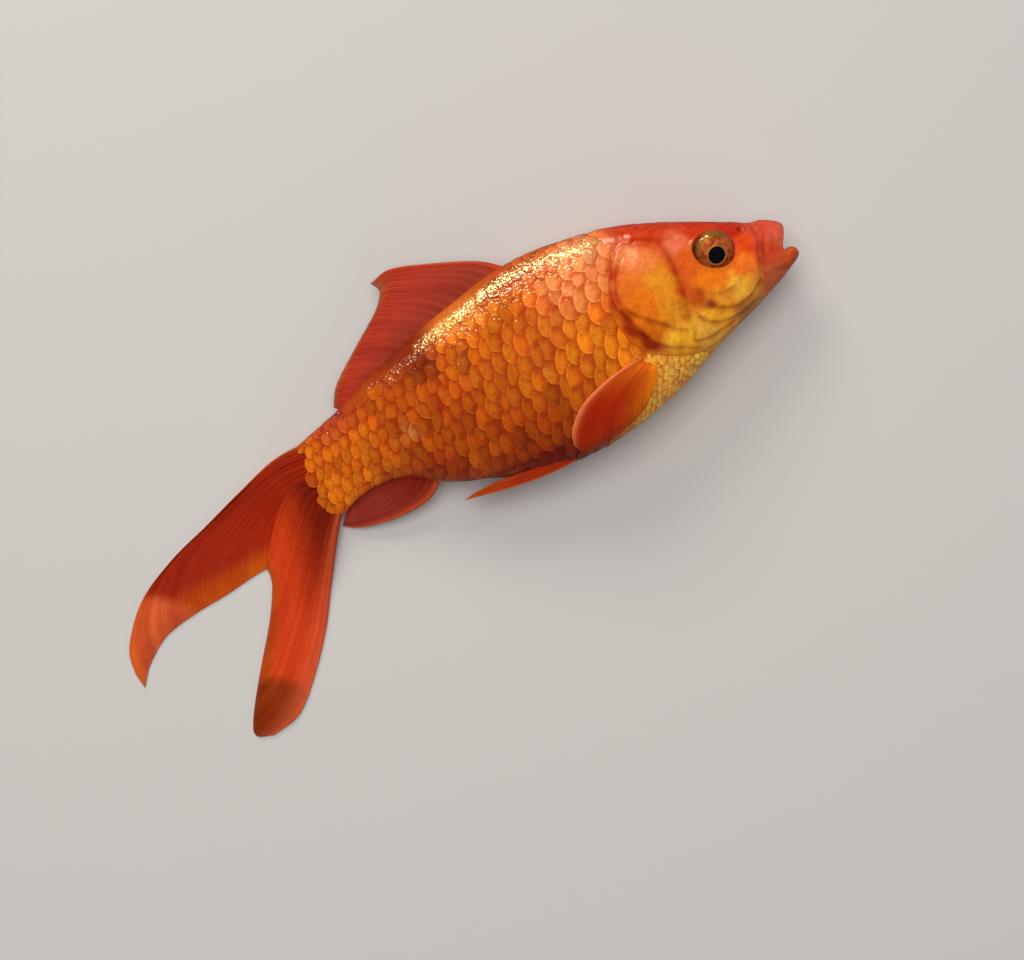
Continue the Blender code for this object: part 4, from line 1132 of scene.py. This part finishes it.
def fin_tint(fin, plan, a, b, crest):
    """The colours of a fin's parts laid over each other, each by its share, with streaks along the rays."""
    tints = {part: colour(*tint) for part, tint in fin["tints"].items()}
    rays = a * fin["rays"]
    from_tip = np.hypot(plan[..., 0] - plan[0, -1, 0], plan[..., 1] - plan[0, -1, 1])
    # On the pectoral and pelvic fins the leading ray's colour is partly painted highlight.
    shares = {"middle": ease(b, 0.1, 0.6), "margin": ease(b, 0.72, 1.0), "last": 0.85 * ease(a, 0.4, 0.95),
              "tip": ease(fin.get("tip_reach", 0.0) - from_tip, 0.0, 3.0),
              "lead": 0.7 * np.exp(-((rays / 0.9) ** 2))}
    tint = np.broadcast_to(tints["root"], a.shape + (3,))
    for part, share in shares.items():
        if part in tints:
            tint = tint + share[..., None] * (tints[part] - tint)
    comb = 1.5 * (crest - 0.3) * np.exp(-((b / 0.22) ** 2))
    streak = comb + ripples(rays, b, 2.1, fin["rays"]) + 0.6 * ripples(rays, 0.4 * b, 0.6, fin["rays"] + 1)
    return np.clip(tint * (1 + 0.12 * streak[..., None] * np.array((1, 1.9, 1.6))), 0, 1)


def make_fin(node_name, fin, plan, height, a, b, base=0.0):
    """A closed fin: the sheet with its rays moved along its normal by half its thickness, up and down.

    height is the sheet's over the floor, and base an extra half thickness. Where the lower face would be
    under the floor, both faces are lifted by as much.
    """
    centre = np.concatenate([plan, np.broadcast_to(height, a.shape)[..., None]], -1)
    normal = grid_normals(centre)
    normal = normal * np.sign(normal[..., 2].mean())
    rays = a * fin["rays"]
    crest = ray_crests(a, b, fin["rays"], fin["splits"])
    centre = centre + normal * (FOLD * np.cos(2 * np.pi * rays) * ease(b, 0.0, 0.3))[..., None]
    edge = np.minimum(np.minimum(a, 1 - a) * fin["rays"] * 2.5, (1 - b) * 14)
    at_root, at_margin = fin["half"]
    thick = (at_root + (at_margin - at_root) * b) * (1 - RAY_RELIEF + RAY_RELIEF * crest)
    thick = thick * (EDGE_THICKNESS + (1 - EDGE_THICKNESS) * np.sqrt(np.clip(edge, 0, 1)))
    thick = thick * (1 + LEAD_EXTRA * np.exp(-((rays / 0.8) ** 2))) + base
    low, high = centre - normal * thick[..., None], centre + normal * thick[..., None]
    sink = np.maximum(-low[..., 2], 0)
    low[..., 2] += sink
    high[..., 2] += sink
    points = np.concatenate([low.reshape(-1, 3), high.reshape(-1, 3)])
    top = grid_faces(*a.shape)
    at = np.arange(a.size).reshape(a.shape)
    border = np.concatenate([at[0, :-1], at[:-1, -1], at[-1, :0:-1], at[:0:-1, 0]])
    rim = np.stack([border, border + at.size, np.roll(border, -1) + at.size, np.roll(border, -1)], -1)
    tint = opaque(fin_tint(fin, plan, a, b, crest))
    thinness = ease(b, 0.8, 1.0) * (1 - 0.5 * crest)
    place = np.stack([b, crest, thinness], -1).reshape(-1, 3)
    make_piece(f"{node_name}_rays", points, [top[:, ::-1], top + at.size, rim], fin_material, "fin",
               (node_name,), tint=np.tile(tint, (2, 1)), place=np.tile(place, (2, 1)))


def middle_at(plan):
    """Height of the body's middle plane at places in plan."""
    return smooth(plan[..., 0], MIDDLE)


# %% [markdown]
# The dorsal fin leans over to the side that the fish lies on, and its margin droops the most. The anal fin
# is folded back. Both lobes of the tail sink from the stalk and lie flat, the lower one over the edge of
# the upper.

# %% The fins of the back and the belly
ROOT_DEPTH = 1.6  # how far a fin's root reaches into the body
x = np.linspace(55.0, 12.6, 9)
plan, a, b = fan(DORSAL, 300, 70, np.stack([x, smooth(x, BACK) - ROOT_DEPTH], 1))
droop = (4.4 - 3.0 * a) * b**1.4
make_fin("dorsal_fin", DORSAL, plan, middle_at(plan)[:, :1] - droop, a, b)

x = np.linspace(24.6, 14.2, 5)
plan, a, b = fan(ANAL, 110, 80, np.stack([x, smooth(x, BELLY) + ROOT_DEPTH], 1))
root = middle_at(plan)[:, :1] - 0.4
make_fin("anal_fin", ANAL, plan, root + (0.5 + 1.3 * a - root) * b**0.8, a, b)

# %% The tail
TAIL_START, TAIL_FLAT, TAIL_FALL = 2.9, 0.3, 19  # height at the stalk, on the floor, way between them
TAIL_FLESH = np.array([(-17, 0.0), (-11, 0.2), (-6, 0.55), (-3, 0.9), (-1.2, 1.0), (1.0, 1.0), (4.0, 0.6)])
OVER_UPPER = 0.35  # how far the lower lobe's last rays rise over the upper lobe


def tail_height(plan):
    """The height of the tail's sheet: the stalk's middle, and down to the floor over the fall's length."""
    gone = np.hypot(plan[..., 0] - 4, plan[..., 1] * 0.6)
    sheet = TAIL_FLAT + (TAIL_START - TAIL_FLAT) * ease(TAIL_FALL - gone, 0, TAIL_FALL)
    near = ease(plan[..., 0], -8.0, -1.0)
    return (1 - near) * sheet + near * middle_at(plan)


def tail_base(plan, a):
    """Extra half thickness of the tail's fleshy root: the rays come out from under the last scales."""
    return smooth(plan[..., 0], TAIL_FLESH) * np.sqrt(np.clip(a / 0.6, 0, 1))


plan, a, b = fan(TAIL_UPPER, 220, 120)
make_fin("tail_fin_upper", TAIL_UPPER, plan, tail_height(plan), a, b, tail_base(plan, a))
plan, a, b = fan(TAIL_LOWER, 200, 120)
height = tail_height(plan) + 0.10 + OVER_UPPER * ease(a, 0.5, 0.9) * ease(b, 0.1, 0.45)
make_fin("tail_fin_lower", TAIL_LOWER, plan, height, a, b, tail_base(plan, a))

# %% [markdown]
# Pectoral and pelvic fins come in pairs. The pectoral fin is folded back over the lower flank and follows
# its curve. The pelvic fins lie under the belly, one on either side of the middle.

# %% The paired fins
for side, word in ((1, "right"), (-1, "left")):
    plan, a, b = fan(PECTORAL, 190, 80)
    lift = -1.4 + 2.2 * ease(b, -0.05, 0.3)
    height = np.maximum(middle_at(plan) + side * (flank(plan[..., 0], plan[..., 1]) + lift), 0.3)
    make_fin(f"pectoral_fin_{word}", PECTORAL, plan, height, a, b)
    plan, a, b = fan(PELVIC, 110, 90)
    out_by = 1.6 + 2.6 * a * (1 - 0.7 * b)
    make_fin(f"pelvic_fin_{word}", PELVIC, plan, middle_at(plan) + side * out_by, a, b)

# %% [markdown]
# ## Eyes
# An eye is a painted ball inside a clear dome. The ball is a profile turned round its axis: the black lens
# bulges from a thin gold ring, the iris slopes away from it, and the back is round. The dome is wet and
# clear, so it gives the highlight while the depth shows through it. The axis leans towards the belly, as a
# fish's eye does when the fish is laid on its side, and swings a little towards the snout.

# %% The shape of an eye
EYE_RADII = np.array((4.8, 4.5, 3.6))  # half axes of the dome
EYE_OUT = 1.4  # how far the dome stands out of the flank
EYE_LEAN, EYE_SWING = math.radians(25), math.radians(12)
IRIS_REACH = 4.0
BALL = np.array([(0, 2.62), (0.7, 2.58), (1.2, 2.48), (1.55, 2.34), (1.63, 2.30), (1.74, 2.38),
                 (1.88, 2.36), (2.16, 2.2), (2.7, 2.05), (3.2, 1.8), (3.6, 1.42), (3.75, 1.1),
                 (3.95, 0.4), (IRIS_REACH, -0.5), (3.6, -1.6), (2.4, -2.6), (0.0, -3.0)])


def eye_middle(side):
    """The middle of the dome: so deep in the flank that the dome stands out by EYE_OUT."""
    x, y = EYE_PLACE[:1], EYE_PLACE[1:]
    return np.concatenate([x, y, smooth(x, MIDDLE) + side * (flank(x, y) + EYE_OUT - EYE_RADII[2])])


def turned(profile, steps, around):
    """A profile of (radius, height) turned round the vertical axis, with one point at each pole."""
    fine = along(profile, steps)
    turn = np.linspace(0, 2 * np.pi, around, endpoint=False)
    ring = np.stack([np.cos(turn), np.sin(turn)], -1)
    radius, height = fine[1:-1, :1, None], np.broadcast_to(fine[1:-1, 1:, None], (steps - 2, around, 1))
    poles = np.array([(0, 0, fine[0, 1]), (0, 0, fine[-1, 1])])
    points = np.concatenate([np.concatenate([radius * ring, height], -1).reshape(-1, 3), poles])
    at = np.arange(around)
    first, last = len(points) - 2, len(points) - 1
    end = (steps - 3) * around
    caps = np.concatenate([np.stack([np.full(around, first), at, np.roll(at, -1)], 1),
                           np.stack([np.full(around, last), end + np.roll(at, -1), end + at], 1)])
    return points, [grid_faces(steps - 2, around, closed=True), caps]


print("middle of the right eye:", eye_middle(1).round(2))

# %% [markdown]
# How far out a point is from the ball's axis travels with the mesh as reach, so rings of colour are steps
# on it, from the outside inwards. Another attribute says how far a point faces the back, where the iris is
# more golden.

# %% The eyes' materials
ball_material, tree, finish = new_material("iris_and_pupil")
reach_in = stored(tree, "reach", "Fac")
LENS = (0.003, 0.002, 0.003)


def ring(low, high, inner, outer, most=1.0):
    """One colour laid over another by a step on the reach."""
    return blend(tree, ramp(tree, reach_in, low, high, 0.0, most), inner, outer)


iris = blend(tree, ramp(tree, noise(tree, 900.0, 5.0), 0.35, 0.65), colour(164, 68, 22), colour(224, 122, 60))
golden = times(tree, ramp(tree, reach_in, 0.82, 0.95), stored(tree, "upwards", "Fac"))
iris = blend(tree, golden, iris, colour(150, 104, 36))
# The olive ring at the iris's edge is partly a painted glassy highlight.
iris = ring(0.93, 0.99, iris, colour(150, 92, 34), most=0.8)
ringed = ring(0.490, 0.468, iris, colour(206, 138, 66))
finish({"Base Color": ring(0.430, 0.404, ringed, LENS), "Roughness": 0.4, "Specular IOR Level": 0.0,
        "Metallic": ramp(tree, reach_in, 0.43, 0.46, 0.0, 0.3)})

dome_material, tree, finish = new_material("clear_dome")
finish({"Base Color": (1, 1, 1, 1), "Roughness": 0.02, "Transmission Weight": 1.0, "IOR": 1.336})


# %% The eyes
def make_eye(side, word):
    """Ball and dome of one eye: the ball is turned by the lean and the swing, and mirrored on the left."""
    middle = eye_middle(side)
    points, faces = turned(BALL, 70, 96)
    reach = np.hypot(points[:, 0], points[:, 1]) / IRIS_REACH
    reach = np.where(points[:, 2] > 0, reach, 2 - reach)
    upwards = np.clip(points[:, 1] / 3.0 + 0.2, 0, 1)
    cos, sin = math.cos(EYE_LEAN), math.sin(EYE_LEAN)
    lean = np.array([[1, 0, 0], [0, cos, -sin], [0, sin, cos]])
    cos, sin = math.cos(EYE_SWING), math.sin(EYE_SWING)
    swing = np.array([[cos, sin, 0], [-sin, cos, 0], [0, 0, 1]])
    placed = (points @ lean.T @ swing) * (1, 1, side) + middle
    make_piece(f"eyeball_{word}", placed, faces, ball_material, "eye", (f"eye_{word}",),
               reach=reach, upwards=upwards)
    turn = np.linspace(0, np.pi, 41)
    dome, faces = turned(np.stack([np.sin(turn), np.cos(turn)], 1), 60, 96)
    make_piece(f"eye_dome_{word}", dome * EYE_RADII * (1, 1, side) + middle, faces, dome_material, "eye")


make_eye(1, "right")
make_eye(-1, "left")

# %% [markdown]
# ## Floor, light and camera
# The floor is plain and pale. Three large soft lamps light the fish: one on the side of its back, one
# overhead and a weak one opposite. A wet fish is also seen by what it mirrors, so a fourth lamp, narrow and
# low on the side of the back, lights nothing and is only mirrored: it draws the bright line along the upper
# flank. The camera looks straight down from half a metre.

# %% The floor
FLOOR = 2  # half the floor's width, in metres
floor_mesh = bpy.data.meshes.new("floor")
corners = [(-FLOOR, -FLOOR, 0), (FLOOR, -FLOOR, 0), (FLOOR, FLOOR, 0), (-FLOOR, FLOOR, 0)]
floor_mesh.from_pydata(corners, [], [(0, 1, 2, 3)])
floor = bpy.data.objects.new("floor", floor_mesh)
bpy.context.scene.collection.objects.link(floor)
floor_material, tree, finish = new_material("pale_floor")
finish({"Base Color": (*colour(205, 200, 196), 1), "Roughness": 1.0, "Specular IOR Level": 0.0})
floor_mesh.materials.append(floor_material)
floor.visible_glossy = False

# %% The lamps
TURN = math.radians(25.9)  # how far the camera is turned against the fish
RIGHT = np.array((math.cos(TURN), -math.sin(TURN), 0))  # the camera's right and up, on the floor
UP = np.array((math.sin(TURN), math.cos(TURN), 0))
OVERHEAD = np.array((0, 0, 1.0))
AIM = np.array((0.0074, -0.0114, 0.010))  # the point that lamps and camera look at


def lamp(name, direction, distance, width, height, power, tint, lights=True, shines=True):
    """An area lamp in some direction that faces the fish. It lights, is mirrored, or both."""
    data = bpy.data.lights.new(name, "AREA")
    data.shape, data.size, data.size_y, data.energy, data.color = "RECTANGLE", width, height, power, tint
    made = bpy.data.objects.new(name, data)
    direction = direction / np.linalg.norm(direction)
    made.location = AIM + direction * distance
    made.rotation_euler = Vector(direction).to_track_quat("Z", "Y").to_euler()
    made.visible_diffuse, made.visible_glossy = lights, shines
    bpy.context.scene.collection.objects.link(made)


BACK_SIDE = UP * 0.92 - RIGHT * 0.42
lamp("key", BACK_SIDE + 0.60 * OVERHEAD, 0.8, 0.4, 0.3, 3.0, (1.0, 0.96, 0.90), shines=False)
lamp("glint", BACK_SIDE + 0.18 * OVERHEAD, 0.8, 0.42, 0.10, 4.6, (1.0, 0.91, 0.66), lights=False)
lamp("sky", UP * 0.16 - RIGHT * 0.10 + OVERHEAD, 1.0, 0.8, 0.8, 7.6, (1.0, 0.99, 0.98), shines=False)
lamp("fill", RIGHT * 0.8 - UP * 0.7 + 0.6 * OVERHEAD, 1.0, 0.5, 0.5, 0.9, (1.0, 0.95, 0.92), shines=False)
world = bpy.data.worlds.new("studio")
world.use_nodes = True
world.node_tree.nodes["Background"].inputs["Color"].default_value = (0.80, 0.84, 0.90, 1)
world.node_tree.nodes["Background"].inputs["Strength"].default_value = 0.14
bpy.context.scene.world = world
bpy.context.scene.view_settings.view_transform = "Standard"

# %% The camera
CAMERA_HEIGHT = 0.46
FRAME_WIDTH = 0.2048  # how wide the view is at the height of the fish's middle, in metres
SENSOR_WIDTH = 36.0
camera_data = bpy.data.cameras.new("camera")
camera_data.sensor_width = SENSOR_WIDTH
camera_data.lens = SENSOR_WIDTH * (CAMERA_HEIGHT - AIM[2]) / FRAME_WIDTH
camera_data.clip_start = 0.01
camera = bpy.data.objects.new("camera", camera_data)
camera.location = (AIM[0], AIM[1], CAMERA_HEIGHT)
camera.rotation_euler = (0, 0, -TURN)
bpy.context.scene.collection.objects.link(camera)
bpy.context.scene.camera = camera
